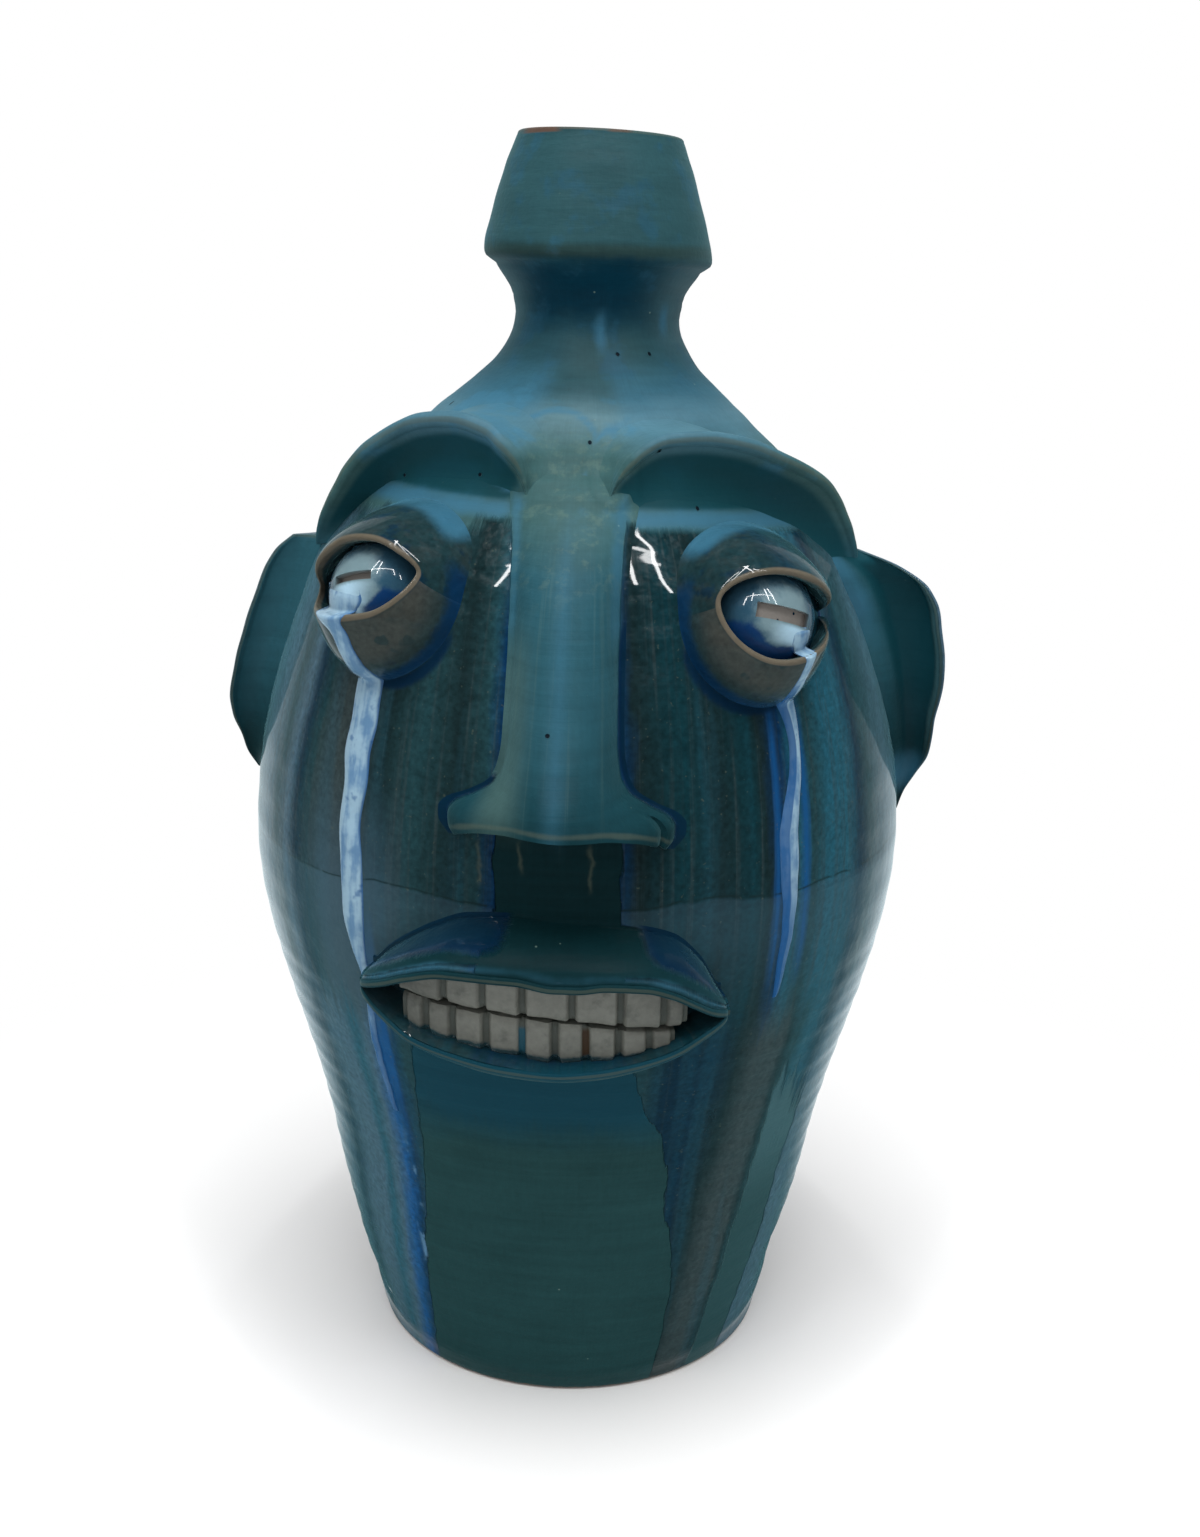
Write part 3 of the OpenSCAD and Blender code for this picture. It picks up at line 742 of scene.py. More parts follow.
# %% Eyeballs
def make_eyeball(name, eye):
    """A ball with a slit: four cuts outline it, and the faces between them are pushed in."""
    s, t, tilt, width, height, depth = eye.slit
    width, height, depth = width * MM, height * MM, depth * MM
    mesh = bmesh.new()
    layers = new_layers(mesh)
    bmesh.ops.create_uvsphere(mesh, u_segments=96, v_segments=64, radius=BALL_R)
    for place, normal in (
        ((width / 2, 0, 0), (1, 0, 0)),
        ((-width / 2, 0, 0), (1, 0, 0)),
        ((0, height / 2, 0), (0, 1, 0)),
        ((0, -height / 2, 0), (0, 1, 0)),
    ):
        everything = mesh.verts[:] + mesh.edges[:] + mesh.faces[:]
        bmesh.ops.bisect_plane(mesh, geom=everything, plane_co=place, plane_no=normal)
    middles = {face: face.calc_center_median() for face in mesh.faces}
    slit = [
        face for face, m in middles.items()
        if m.z > 0 and abs(m.x) < width / 2 and abs(m.y) < height / 2
    ]
    pushed = bmesh.ops.extrude_face_region(mesh, geom=slit)
    bottom = [item for item in pushed["geom"] if isinstance(item, bmesh.types.BMVert)]
    bmesh.ops.delete(mesh, geom=slit, context="FACES")
    bmesh.ops.translate(mesh, verts=bottom, vec=(0, 0, -depth))
    floor_of_slit = set(bottom)
    for vert in mesh.verts:
        x, y, d = vert.co.x / MM, vert.co.y / MM, math.hypot(vert.co.x, vert.co.y) / MM
        flow = smooth((-y - height / MM / 2) / 0.8) * bump(x, eye.flow, 6.5)
        flow *= smooth((y + eye.reach) / 2)
        pool = smooth((d - 4.8) / 2.2) * smooth((-y - 0.5) / 4) * (1 - 0.7 * flow)
        looks = {"thin": vert in floor_of_slit, "haze": flow, "pool": pool, "deep": (d - 2) / 7}
        dress(vert, layers, looks)
    spin = Matrix.Rotation(math.radians(tilt), 4, "Z")
    aim = Matrix.Rotation(math.asin(s * MM / BALL_R), 4, "Y")
    aim = aim @ Matrix.Rotation(-math.asin(t * MM / BALL_R), 4, "X")
    place = Matrix((eye.across, eye.up, eye.axis)).transposed().to_4x4()
    place.translation = eye.at + eye.axis * 0.6 * MM
    bmesh.ops.transform(mesh, matrix=place @ aim @ spin, verts=mesh.verts[:])
    return finish_piece(mesh, name + "_eyeball_with_slit", "eye_glaze", name + "_eyeball")


for eye_name, eye in eyes.items():
    eye_pieces[eye_name].append(make_eyeball(eye_name, eye))

# %% [markdown]
# ## The mouth
# Two lips stand out like the edges of a bowl round two rows of teeth. All of them follow the same curves,
# which run from one corner of the mouth to the other. The teeth are strips of white clay, scored across
# with a tool, so each tooth is a pad with soft corners and the grooves between them are open.

# %% Mouth curves
MOUTH_S = -2.0
MOUTH_HALF = 35.5
lip_root = curve(
    (-1, 106.4), (-0.9, 110.4), (-0.75, 114.6), (-0.6, 118.0), (-0.4, 121.1), (-0.09, 122.2),
    (0.2, 121.9), (0.53, 121.0), (0.72, 119.4), (0.88, 114.4), (1, 107.0),
)
lip_edge = curve(
    (-1, 104.0), (-0.9, 105.6), (-0.77, 107.9), (-0.63, 110.6), (-0.43, 113.3), (-0.24, 113.9),
    (-0.09, 114.1), (0.09, 112.8), (0.19, 112.9), (0.33, 113.8), (0.51, 113.2), (0.64, 111.4),
    (0.77, 108.4), (0.87, 106.0), (1, 103.9),
)
low_edge = curve(
    (-1, 103.2), (-0.9, 101.8), (-0.76, 99.4), (-0.6, 96.7), (-0.37, 95.2), (-0.17, 94.2), (0.08, 93.8),
    (0.27, 94.5), (0.47, 96.0), (0.68, 98.3), (0.83, 100.9), (1, 103.4),
)
low_inner = curve(
    (-1, 103.4), (-0.85, 101.6), (-0.64, 99.2), (-0.43, 97.6), (-0.24, 96.5), (-0.09, 95.9),
    (0.08, 95.2), (0.27, 95.8), (0.47, 97.3), (0.64, 99.4), (0.85, 102.2), (1, 103.6),
)
row_line = curve(
    (-1, 105.8), (-0.69, 107.0), (-0.45, 105.9), (-0.25, 105.5), (-0.1, 105.2), (0.16, 104.6),
    (0.4, 103.8), (0.6, 103.3), (0.72, 103.6), (1, 103.6),
)
LIP_OUT = 12.5
LOW_LIP_H = 6.0
LIP_ROLL = 0.8
LIP_END = 1.02
UPPER_TUCK, LOWER_TUCK = 2.2, 1.8
UPPER_FRONT, UPPER_ROLLED = 0.7, 0.86
LOWER_FRONT, LOWER_ROLLED = 0.56, 0.72
TEETH_OUT = 8.2


def lip_reach(w):
    return LIP_OUT * (0.34 + 0.66 * max(1 - w * w, 0) ** 0.5)


def on_mouth(w, z, out):
    return on_face((MOUTH_S + MOUTH_HALF * w) * MM, z * MM, out * MM)


# %% Lips
def upper_lip_front(u, v):
    """From its root down the face of the lip, round the rolled edge and back to the teeth."""
    w = mix(-LIP_END, LIP_END, u)
    reach = lip_reach(w) * (1 - 0.08 * math.exp(-(((w - 0.13) * 7) ** 2)))
    root, edge, roll = lip_root(w), lip_edge(w), LIP_ROLL
    if v < UPPER_FRONT:
        t = v / UPPER_FRONT
        z = mix(root + UPPER_TUCK, edge + roll, t)
        rise = clamp((t * (root + UPPER_TUCK - edge) - UPPER_TUCK) / (root - edge))
        out = fillet(reach * math.sin(math.pi / 2 * rise**0.75) - 0.2, 0.4) - 0.7 * smooth(1 - t * 5)
    elif v < UPPER_ROLLED:
        t = math.pi * ((v - UPPER_FRONT) / (UPPER_ROLLED - UPPER_FRONT) - 0.5)
        z = edge - roll * math.sin(t)
        out = reach + roll * 0.5 * math.cos(t)
    else:
        t = (v - UPPER_ROLLED) / (1 - UPPER_ROLLED)
        z = mix(edge - roll, edge + 0.6, t)
        out = mix(reach - 0.1, min(TEETH_OUT - 0.4, reach * 0.7), t)
    side = smooth((abs(w - 0.185) - 0.26) / 0.2)
    wet = side * smooth((0.58 - v) / 0.3)
    looks = {
        "matt": (1 - wet) * smooth((v - 0.05) / 0.1) * (1 - 0.5 * bump(v, 0.62, 0.12)),
        "pool": wet * smooth(v / 0.08),
        "thin": bump(v, 0.78, 0.06),
        "haze": (0.3 + 0.3 * side) * bump(v, 0.62, 0.14),
    }
    return on_mouth(w, z, out), looks


def upper_lip_back(u, v):
    w = mix(-LIP_END, LIP_END, u)
    return on_mouth(w, mix(lip_root(w) + UPPER_TUCK, lip_edge(w) + 0.6, v), -1.5)


def lower_lip_root(w):
    return low_edge(w) - LOW_LIP_H * max(1.03 - w * w, 0) ** 0.5 - 0.6


def lower_lip_front(u, v):
    w = mix(-LIP_END, LIP_END, u)
    edge, reach, root, roll = low_edge(w), lip_reach(w), lower_lip_root(w), LIP_ROLL
    if v < LOWER_FRONT:
        t = v / LOWER_FRONT
        z = mix(root - LOWER_TUCK, edge - roll, t)
        rise = clamp((t * (edge - root + LOWER_TUCK) - LOWER_TUCK) / (edge - root))
        out = fillet(reach * math.sin(math.pi / 2 * rise**1.5) - 0.2, 0.35) - 0.7 * smooth(1 - t * 5)
    elif v < LOWER_ROLLED:
        t = math.pi * ((v - LOWER_FRONT) / (LOWER_ROLLED - LOWER_FRONT) - 0.5)
        z = edge + roll * math.sin(t)
        out = reach + roll * 0.5 * math.cos(t)
    else:
        t = (v - LOWER_ROLLED) / (1 - LOWER_ROLLED)
        z = mix(edge + roll, low_inner(w), t)
        out = mix(reach - 0.1, min(TEETH_OUT + 0.1, reach * 0.75), t**1.3)
    rubbed = 0.7 * smooth((v - 0.25) / 0.2) * smooth((0.62 - v) / 0.1)
    looks = {
        "matt": 1 - smooth((v - 0.7) / 0.1),
        "pool": bump(v, 0.97, 0.1) * 0.4,
        "thin": max(1.1 * bump(v, 0.64, 0.05), rubbed),
        # deep: painted shade on the lip's roll and inside it, towards the teeth
        "deep": 0.3 * smooth((v - 0.68) / 0.08),
    }
    return on_mouth(w, z, out), looks


def lower_lip_back(u, v):
    w = mix(-LIP_END, LIP_END, u)
    return on_mouth(w, mix(lower_lip_root(w) - LOWER_TUCK, low_inner(w), v), -1.5)


upper_lip = clay("upper_lip_roll", "teal_glaze", "upper_lip", 160, 70, upper_lip_front, upper_lip_back)
lower_lip = clay("lower_lip_roll", "teal_glaze", "lower_lip", 160, 60, lower_lip_front, lower_lip_back)

# %% Teeth
upper_grooves = (-0.72, -0.468, -0.268, -0.071, 0.170, 0.406, 0.622, 0.735)
lower_grooves = (-0.685, -0.562, -0.421, -0.251, -0.073, 0.087, 0.237, 0.397, 0.550, 0.675)
GROOVE_HALF = 0.42


def tooth_face(w, grooves):
    """1 on a tooth, falling with soft shoulders to 0 in the grooves beside it."""
    nearest = min(abs(w - g) for g in grooves) * MOUTH_HALF
    return smooth((nearest - GROOVE_HALF * 0.7) / 0.8)


def teeth_row(name, node, grooves, low, high):
    """A strip between two lines, with a tooth between each groove and the next."""
    first, last = grooves[0] - 0.008, grooves[-1] + 0.008

    def front(u, v):
        w = mix(first, last, u)
        face = tooth_face(w, grooves)
        crown = clamp(1 - abs(2 * v - 1) ** 5)
        tooth = min(range(len(grooves) - 1), key=lambda i: abs((grooves[i] + grooves[i + 1]) / 2 - w))
        uneven = 0.2 * math.sin(2.6 * tooth + len(grooves)) + 0.15 * math.sin(40 * w + 3 * tooth)
        out = TEETH_OUT - 1.3 + (1.0 + uneven) * face + 0.7 * crown
        nibble = 0.15 * (1 - face) - 0.2 * math.sin(3.7 * tooth + 9 * w)
        z = mix(low(w) + nibble, high(w) - nibble, v)
        wet_foot = smooth(1 - v * 2.2) if node == "lower_teeth" else 0
        return on_mouth(w, z, out), {"matt": 1, "pool": 1 - face, "haze": wet_foot}

    def back(u, v):
        w = mix(first, last, u)
        return on_mouth(w, mix(low(w), high(w), v), 1.0)

    return clay(name, "tooth_clay", node, 300, 22, front, back)


teeth_row(
    "upper_teeth_strip", "upper_teeth", upper_grooves, row_line, lambda w: lip_edge(w) + 0.5
)
teeth_row(
    "lower_teeth_strip",
    "lower_teeth",
    lower_grooves,
    lambda w: low_inner(w) - 0.8,
    lambda w: row_line(w) - 0.8,
)

# %% [markdown]
# ## The ears
# The ears are slabs stood on edge at the sides. The jug's left one is cupped towards the front with a thin
# rim, and the right one is a flatter slab cut with a few straight edges. Both have a thick root that is
# smeared onto the wall, and a web of clay runs forward from the left one to the end of the brow.

# %% Ears
EAR_TOP = EYE_Z + 8 * MM
left_ear_reach = curve(
    (0.0, 4.6), (0.05, 11.9), (0.12, 16.8), (0.18, 17.6), (0.25, 17.1), (0.39, 15.4), (0.52, 12.4),
    (0.61, 10.0), (0.69, 8.7), (0.76, 7.2), (0.84, 4.4), (0.92, 1.8), (1.0, 0.6),
)
right_ear_reach = curve(
    (0.0, 6.6), (0.06, 8.8), (0.14, 9.6), (0.32, 9.9), (0.5, 9.6), (0.66, 9.0), (0.75, 7.6), (0.84, 5.2),
    (0.92, 3.6), (1.0, 1.0),
)
left_ear_at = curve((0, 74), (0.4, 77), (0.7, 82), (1, 87))
right_ear_at = curve((0, 80), (0.4, 82), (1, 88))


def make_ear(name, node, side, reach, at, length, curl, hollow, web):
    """An ear stands off by its reach, at its angle, curls forward, is hollowed and may have a web."""

    def place(u, v, face):
        s = smooth(u) * 0.35 + u * 0.65
        z = EAR_TOP - length * v
        out = reach(v)
        thick = mix(3.4, 1.5, s**0.6) + 2.6 * (1 - s) ** 4
        forward = curl * s * s * math.sin(math.pi * clamp(0.08 + 0.9 * v))
        cup = smooth((s - 0.1) / 0.3) * smooth((0.94 - s) / 0.12)
        forward -= hollow * cup * smooth(v / 0.12) * smooth((0.86 - v) / 0.3)
        forward += web * (1 - s) ** 1.5 * bump(v, 0.02, 0.26)
        tip = math.sqrt(max(1 - (max(s - 0.86, 0) / 0.14) ** 2, 0.02))
        shift = forward + face * thick / 2 * tip
        root = 4.0 * (1 - s) ** 2 if face > 0 else -2.0 * (1 - s) ** 2
        angle = side * (math.radians(at(v)) - (shift + root) * MM / wall_r(z))
        return on_wall(angle, z, (-0.8 + (out + 0.8) * s) * MM), s

    def front(u, v):
        point, s = place(u, v, 1)
        edge = max(smooth((s - 0.9) / 0.06), bump(v, 0, 0.02))
        web_haze = 0.7 * smooth((0.34 - s) / 0.2) * smooth((0.4 - v) / 0.25)
        inner = smooth((s - 0.2) / 0.12) * smooth((0.92 - s) / 0.06) * smooth((0.66 - v) / 0.2)
        looks = {
            "matt": 1 - smooth((s - 0.96) / 0.02),
            "thin": 1.4 * bump(s, 0.945, 0.04) if web else 1.2 * edge,
            "haze": max(web_haze, 0.9 * bump(v, 0.84, 0.16)) * (web > 0),
            # deep: painted shade in the cup of the ear
            "deep": min(hollow / 6, 1) * inner,
        }
        return point, looks

    def back(u, v):
        return place(u, v, -1)[0]

    return clay(name, "teal_glaze", node, 56, 110, front, back)


LEFT_EAR = {"length": 61 * MM, "curl": 6.0, "hollow": 4.0, "web": 4.0}
RIGHT_EAR = {"length": 54 * MM, "curl": 3.5, "hollow": 0.6, "web": 0.0}
make_ear("left_ear_cup", "left_ear", LEFT, left_ear_reach, left_ear_at, **LEFT_EAR)
make_ear("right_ear_slab", "right_ear", RIGHT, right_ear_reach, right_ear_at, **RIGHT_EAR)

# %% [markdown]
# ## The handle
# The photograph looks at the jug from the front, so the strap behind the neck is worked out from how such
# jugs are made: a pulled strap leaves the neck under the collar, bends over and lands on the shoulder,
# where a thumb has pressed it down. Its section is a flat oval with a shallow groove along the outside.

# %% Handle
STRAP_W = 21 * MM
STRAP_T = 8 * MM
strap_top_z = BODY_TOP + 14 * MM
strap_foot_z = BODY_TOP * 0.798
strap_points = (
    Vector((0, wall_r(strap_top_z) - 1.5 * MM, strap_top_z)),
    Vector((0, 62.7 * MM, strap_top_z + 20.5 * MM)),
    Vector((0, 85.8 * MM, mix(strap_foot_z, strap_top_z, 0.4))),
    Vector((0, wall_r(strap_foot_z) - 1.5 * MM, strap_foot_z)),
)


def strap_at(t):
    p, q, r, s = strap_points
    at = p * (1 - t) ** 3 + q * 3 * t * (1 - t) ** 2 + r * 3 * t * t * (1 - t) + s * t**3
    along = (q - p) * (1 - t) ** 2 + (r - q) * 2 * t * (1 - t) + (s - r) * t * t
    return at, along.normalized()


def strap_point(u, v, face):
    at, along = strap_at(v)
    away = Vector((0, -along.z, along.y)) * -1
    swell = 1 + 0.5 * abs(2 * v - 1) ** 6
    x = (2 * u - 1)
    thick = STRAP_T / 2 * swell * math.sqrt(max(1 - abs(x) ** 2.6, 0))
    groove = 0.5 * MM * math.exp(-(x / 0.35) ** 2) * (face > 0)
    return at + Vector((x * STRAP_W / 2 * swell, 0, 0)) + away * face * (thick - groove)


def strap_front(u, v):
    return strap_point(u, v, 1), {"matt": 1, "thin": 0.4 * smooth((abs(2 * u - 1) - 0.8) / 0.15)}


def strap_back(u, v):
    return strap_point(u, v, -1)


clay("strap_handle", "teal_glaze", "handle", 36, 120, strap_front, strap_back)

# %% [markdown]
# ## The melted glass
# Pieces of glass were set in the slits of the eyes, and in the kiln they melted, pooled on the eyeballs and
# ran down over the lids and the cheeks. A run is thick in its middle and thin at its sides, and narrows as
# it goes down. Its course is given by height and angle. Rays from outside find the clay that it lies on,
# and hollows in that ground are filled up, because thick glass bridges them.

# %% Glass runs
def surface_of(pieces):
    """All the surfaces that a run flows over, ready for rays."""
    joined = bmesh.new()
    for piece in pieces:
        joined.from_mesh(piece.data)
    found = BVHTree.FromBMesh(joined)
    joined.free()
    return found


RUN_COLS, RUN_ROWS = 18, 240
RAY_FROM = 0.12
SMOOTHINGS = 6


def settled(course, ground):
    """The radius of the ground under each point of the run's grid, with its hollows filled up."""
    stand = []
    for j in range(RUN_ROWS + 1):
        z, a, half = course(j / RUN_ROWS)
        row = []
        for i in range(RUN_COLS + 1):
            turn = math.radians(a + half * (2 * i / RUN_COLS - 1))
            away = Vector((math.sin(turn), -math.cos(turn), 0))
            hit = ground.ray_cast(away * RAY_FROM + Vector((0, 0, z * MM)), -away)[0]
            row.append(math.hypot(hit.x, hit.y))
        stand.append(row)
    for _ in range(SMOOTHINGS):
        smoothed = []
        for j, row in enumerate(stand):
            before, after = stand[max(j - 1, 0)], stand[min(j + 1, RUN_ROWS)]
            beside = zip(before, row, after, row[:1] + row[:-1], row[1:] + row[-1:])
            smoothed.append([max(near[1], sum(near) / 5) for near in beside])
        stand = smoothed
    return stand


def make_run(name, node, course, thick, stain):
    """A run has its course of height, angle and half width, its thickness and a blue stain on one side."""
    ground = surface_of(eye_pieces[node.split("_")[0]] + [body, upper_lip, lower_lip])
    stand = settled(course, ground)

    def place(u, v, glass):
        z, a, half = course(v)
        i, j = round(u * RUN_COLS), round(v * RUN_ROWS)
        turn = math.radians(a + half * (2 * u - 1))
        swell = math.sqrt(max(1 - (2 * u - 1) ** 2, 0)) * (1 - clamp((v - 0.985) / 0.015) ** 2) ** 0.5
        swell *= smooth(v / 0.04)
        r = stand[j][i] + (thick(v) * swell - 0.12 if glass else -0.7) * MM
        return Vector((r * math.sin(turn), -r * math.cos(turn), z * MM))

    def front(u, v):
        edge = 1 - math.sqrt(max(1 - (2 * u - 1) ** 2, 0))
        blue = stain * smooth((v - 0.2) / 0.15) * smooth((0.62 - u) / 0.3)
        looks = {"pool": max(edge, blue), "thin": smooth(1 - v * 5), "haze": v}
        return place(u, v, True), looks

    return clay(name, "run_glass", node, RUN_COLS, RUN_ROWS, front, lambda u, v: place(u, v, False))


right_course = path(
    (182.8, -41.4, 4.6), (180.8, -41.9, 5.6), (178.6, -42.2, 4.8), (176.6, -41.4, 2.9),
    (174.6, -39.9, 1.9), (171.6, -39.3, 1.7), (168.5, -38.7, 1.8), (166, -38.8, 2.5),
    (163.6, -39.0, 3.0), (156.6, -38.7, 3.0), (150.2, -39.1, 2.9), (143.7, -38.5, 2.5),
    (137, -39.0, 2.3), (130, -38.5, 2.4), (124, -38.1, 2.4), (117, -38.0, 2.3), (110.8, -37.6, 1.6),
    (105.7, -36.8, 1.0), (101, -36.2, 0.9), (96, -37.0, 0.8), (88, -37.6, 0.8), (81, -37.5, 0.7),
    (75, -37.2, 0.6), (70.4, -36.8, 0.4),
)
left_course = path(
    (177.4, 35.8, 1.2), (176.2, 35.9, 2.2), (174.8, 35.9, 2.2), (173.2, 36.0, 1.5), (171.0, 36.2, 1.0),
    (168.5, 36.2, 1.0), (165.2, 36.3, 1.5), (162.1, 37.1, 2.1), (157.5, 37.8, 1.5), (153.4, 38.0, 1.2),
    (149, 37.6, 1.3), (145.2, 37.0, 1.5), (140.5, 36.0, 1.8), (136, 35.5, 2.0), (131, 35.6, 2.0),
    (126, 35.7, 1.8), (121, 35.9, 1.5), (116, 35.9, 1.3), (110, 35.6, 1.1), (105, 35.5, 0.8),
    (100.7, 35.4, 0.4),
)
right_thick = curve(
    (0, 0.25), (0.06, 0.45), (0.12, 0.9), (0.18, 1.0), (0.26, 1.5), (0.5, 1.3), (0.72, 1.0), (1, 0.9),
)
left_thick = curve((0, 0.3), (0.1, 0.45), (0.3, 0.7), (0.5, 0.9), (1, 0.6))
make_run("right_glass_tear", "right_glass_run", right_course, right_thick, 0.0)
make_run("left_glass_tear", "left_glass_run", left_course, left_thick, 1.0)

# %% [markdown]
# ## Words for a recipe
# A glaze is sums and products of a few patterns, and a tangle of nodes hides that. The small class below
# wraps a node's output, so that a recipe can be written as arithmetic. Every node other than the plain
# maths comes from one method that takes its kind, its settings and then its inputs.

# %% Recipe helpers
class Value:
    """What one node hands to the next, with the usual arithmetic."""

    def __init__(self, recipe, socket):
        self.recipe, self.socket = recipe, socket

    def __add__(self, other):
        return self.recipe.maths("ADD", self, other)

    def __sub__(self, other):
        return self.recipe.maths("SUBTRACT", self, other)

    def __rsub__(self, other):
        return self.recipe.maths("SUBTRACT", other, self)

    def __mul__(self, other):
        return self.recipe.maths("MULTIPLY", self, other)

    def __truediv__(self, other):
        return self.recipe.maths("DIVIDE", self, other)

    def __rtruediv__(self, other):
        return self.recipe.maths("DIVIDE", other, self)

    def __pow__(self, other):
        return self.recipe.maths("POWER", self, other)

    def __neg__(self):
        return self.recipe.maths("MULTIPLY", self, -1.0)

    __radd__ = __add__
    __rmul__ = __mul__

    def __abs__(self):
        return self.recipe.maths("ABSOLUTE", self)

    def most(self, other):
        return self.recipe.maths("MAXIMUM", self, other)


class Recipe:
    """The nodes of a material or of the world, written down as sums, products and a few patterns."""

    def __init__(self, owner):
        owner.use_nodes = True
        self.owner, self.tree = owner, owner.node_tree
        self.tree.nodes.clear()

    def node(self, kind, settings=None, inputs=None, out=0):
        node = self.tree.nodes.new(kind)
        for name, setting in (settings or {}).items():
            if name == "course":
                points = node.mapping.curves[0].points
                for _ in setting[2:]:
                    points.new(0.5, 0.5)
                for point, where in zip(points, setting):
                    point.location = where
                node.mapping.update()
            elif name == "stops":
                stops = node.color_ramp.elements
                for _ in setting[2:]:
                    stops.new(0.5)
                for stop, (where, colour) in zip(stops, setting):
                    stop.position = where
                    stop.color = (*colour, 1)
            else:
                setattr(node, name, setting)
        for name, value in (inputs or {}).items():
            self.feed(node.inputs[name], value)
        return node if out is None else Value(self, node.outputs[out])

    def feed(self, socket, value):
        if isinstance(value, Value):
            self.tree.links.new(value.socket, socket)
        elif isinstance(value, tuple) and len(value) == 3 and socket.type == "RGBA":
            socket.default_value = (*value, 1)
        else:
            socket.default_value = value

    def maths(self, operation, *values):
        return self.node("ShaderNodeMath", {"operation": operation}, dict(enumerate(values)))

    def blend(self, factor, first, second):
        """The second colour over the first, by a factor."""
        settings = {"data_type": "RGBA", "blend_type": "MIX", "clamp_factor": True}
        return self.node("ShaderNodeMix", settings, {0: factor, 6: first, 7: second}, out=2)

    def shade(self, colour, amount):
        """A colour made lighter or darker by a number."""
        return self.node("ShaderNodeVectorMath", {"operation": "SCALE"}, {0: colour, "Scale": amount})

    def step(self, value, low, high):
        """0 below low, 1 above high, and the other way round where low is the higher one."""
        inputs = {0: value, 1: low, 2: high, 3: 0.0, 4: 1.0}
        return self.node("ShaderNodeMapRange", {"interpolation_type": "SMOOTHSTEP"}, inputs)

    def band(self, value, middle, half, soft):
        """1 within half of the middle, with soft sides."""
        return self.step(abs(value - middle), half + soft, half - soft)


class Surface(Recipe):
    """A material's recipe, with the place, height and angle of the point that it colours."""

    def __init__(self, name):
        super().__init__(bpy.data.materials.new(name))
        self.place = self.node("ShaderNodeTexCoord", out="Object")
        parts = self.node("ShaderNodeSeparateXYZ", inputs={0: self.place}, out=None)
        self.x, self.y, z = (Value(self, parts.outputs[i]) for i in range(3))
        self.high = z * 1000.0
        self.angle = self.maths("ARCTAN2", self.x, -self.y) * (180 / math.pi)

    def course(self, *points):
        """An angle that depends on the height, through (height, angle) points."""
        scaled = [(z / 270, (a + 90) / 180) for z, a in points]
        return self.node("ShaderNodeFloatCurve", {"course": scaled}, {1: self.high / 270.0}) * 180.0 - 90.0

    def streaks(self, across, along, detail=3.0, seed=0.0):
        """A pattern drawn out down the wall, across and along in patches per degree and millimetre."""
        parts = {0: self.angle * across, 1: self.high * along, 2: seed}
        where = self.node("ShaderNodeCombineXYZ", inputs=parts)
        return self.node("ShaderNodeTexNoise", inputs={0: where, 2: 1.0, 3: detail, 4: 0.55})

    def clouds(self, size, detail=3.0, rough=0.5):
        """A pattern of soft patches about this many millimetres wide."""
        return self.node("ShaderNodeTexNoise", inputs={0: self.place, 2: 1000.0 / size, 3: detail, 4: rough})

    def cells(self, size):
        """How far the nearest of many scattered points is; they lie about this many millimetres apart."""
        inputs = {"Vector": self.place, "Scale": 1000.0 / size}
        return self.node("ShaderNodeTexVoronoi", inputs=inputs, out="Distance")

    def look(self, name):
        return self.node("ShaderNodeAttribute", {"attribute_name": name}, out="Fac")

    def ragged(self, name, pattern, reach, low, high):
        """A look of the piece from 0 to 1, with its edge broken up by a pattern."""
        return self.step(self.look(name) + (pattern - 0.5) * reach, low, high)

    def bump(self, height, depth, below=None):
        """A normal from a height in parts of a depth in millimetres, over another one where it is given."""
        inputs = {"Strength": 1.0, "Distance": depth * MM, "Height": height}
        if below is not None:
            inputs["Normal"] = below
        return self.node("ShaderNodeBump", inputs=inputs, out="Normal")

    def finish(self, settings, **sockets):
        """Ends the recipe in one shader: constants are set on it, and patterns are joined to it."""
        shader = self.node("ShaderNodeBsdfPrincipled", inputs={**settings, **sockets}, out=None)
        self.node("ShaderNodeOutputMaterial", inputs={0: Value(self, shader.outputs[0])}, out=None)
        return self.owner


# %% [markdown]
# ## The glaze
# One dark glaze covers the whole jug. Where it lies thin or cooled slowly it is a matt teal: on the neck,
# the shoulder, the brows, the nose and a panel down the chin. Where it ran it is glossy, nearly black and
# streaked with brown, slate and cobalt from top to bottom. So the recipe first finds the angle and height
# of a point on the wall, then which of the two it is, and then lays the streaks, the pools and the worn
# edges over it. All the clay but the lids, eyes and teeth shares it, as it was dipped together.

# %% Colours of the glaze
NECK_TEAL = (0.016, 0.056, 0.072)
UNDER_COLLAR = (0.001, 0.029, 0.052)
COLLAR_TEAL = (0.018, 0.058, 0.068)
SHOULDER_BLUE = (0.070, 0.140, 0.165)
SKY = (0.032, 0.120, 0.190)
OLIVE_TEAL = (0.032, 0.082, 0.085)
NECK_OLIVE = (0.020, 0.056, 0.062)
OLIVE_BAND = (0.016, 0.034, 0.030)
SMALT = (0.014, 0.066, 0.110)
NOSE_TEAL = (0.016, 0.066, 0.088)
LOW_NOSE = (0.006, 0.036, 0.048)
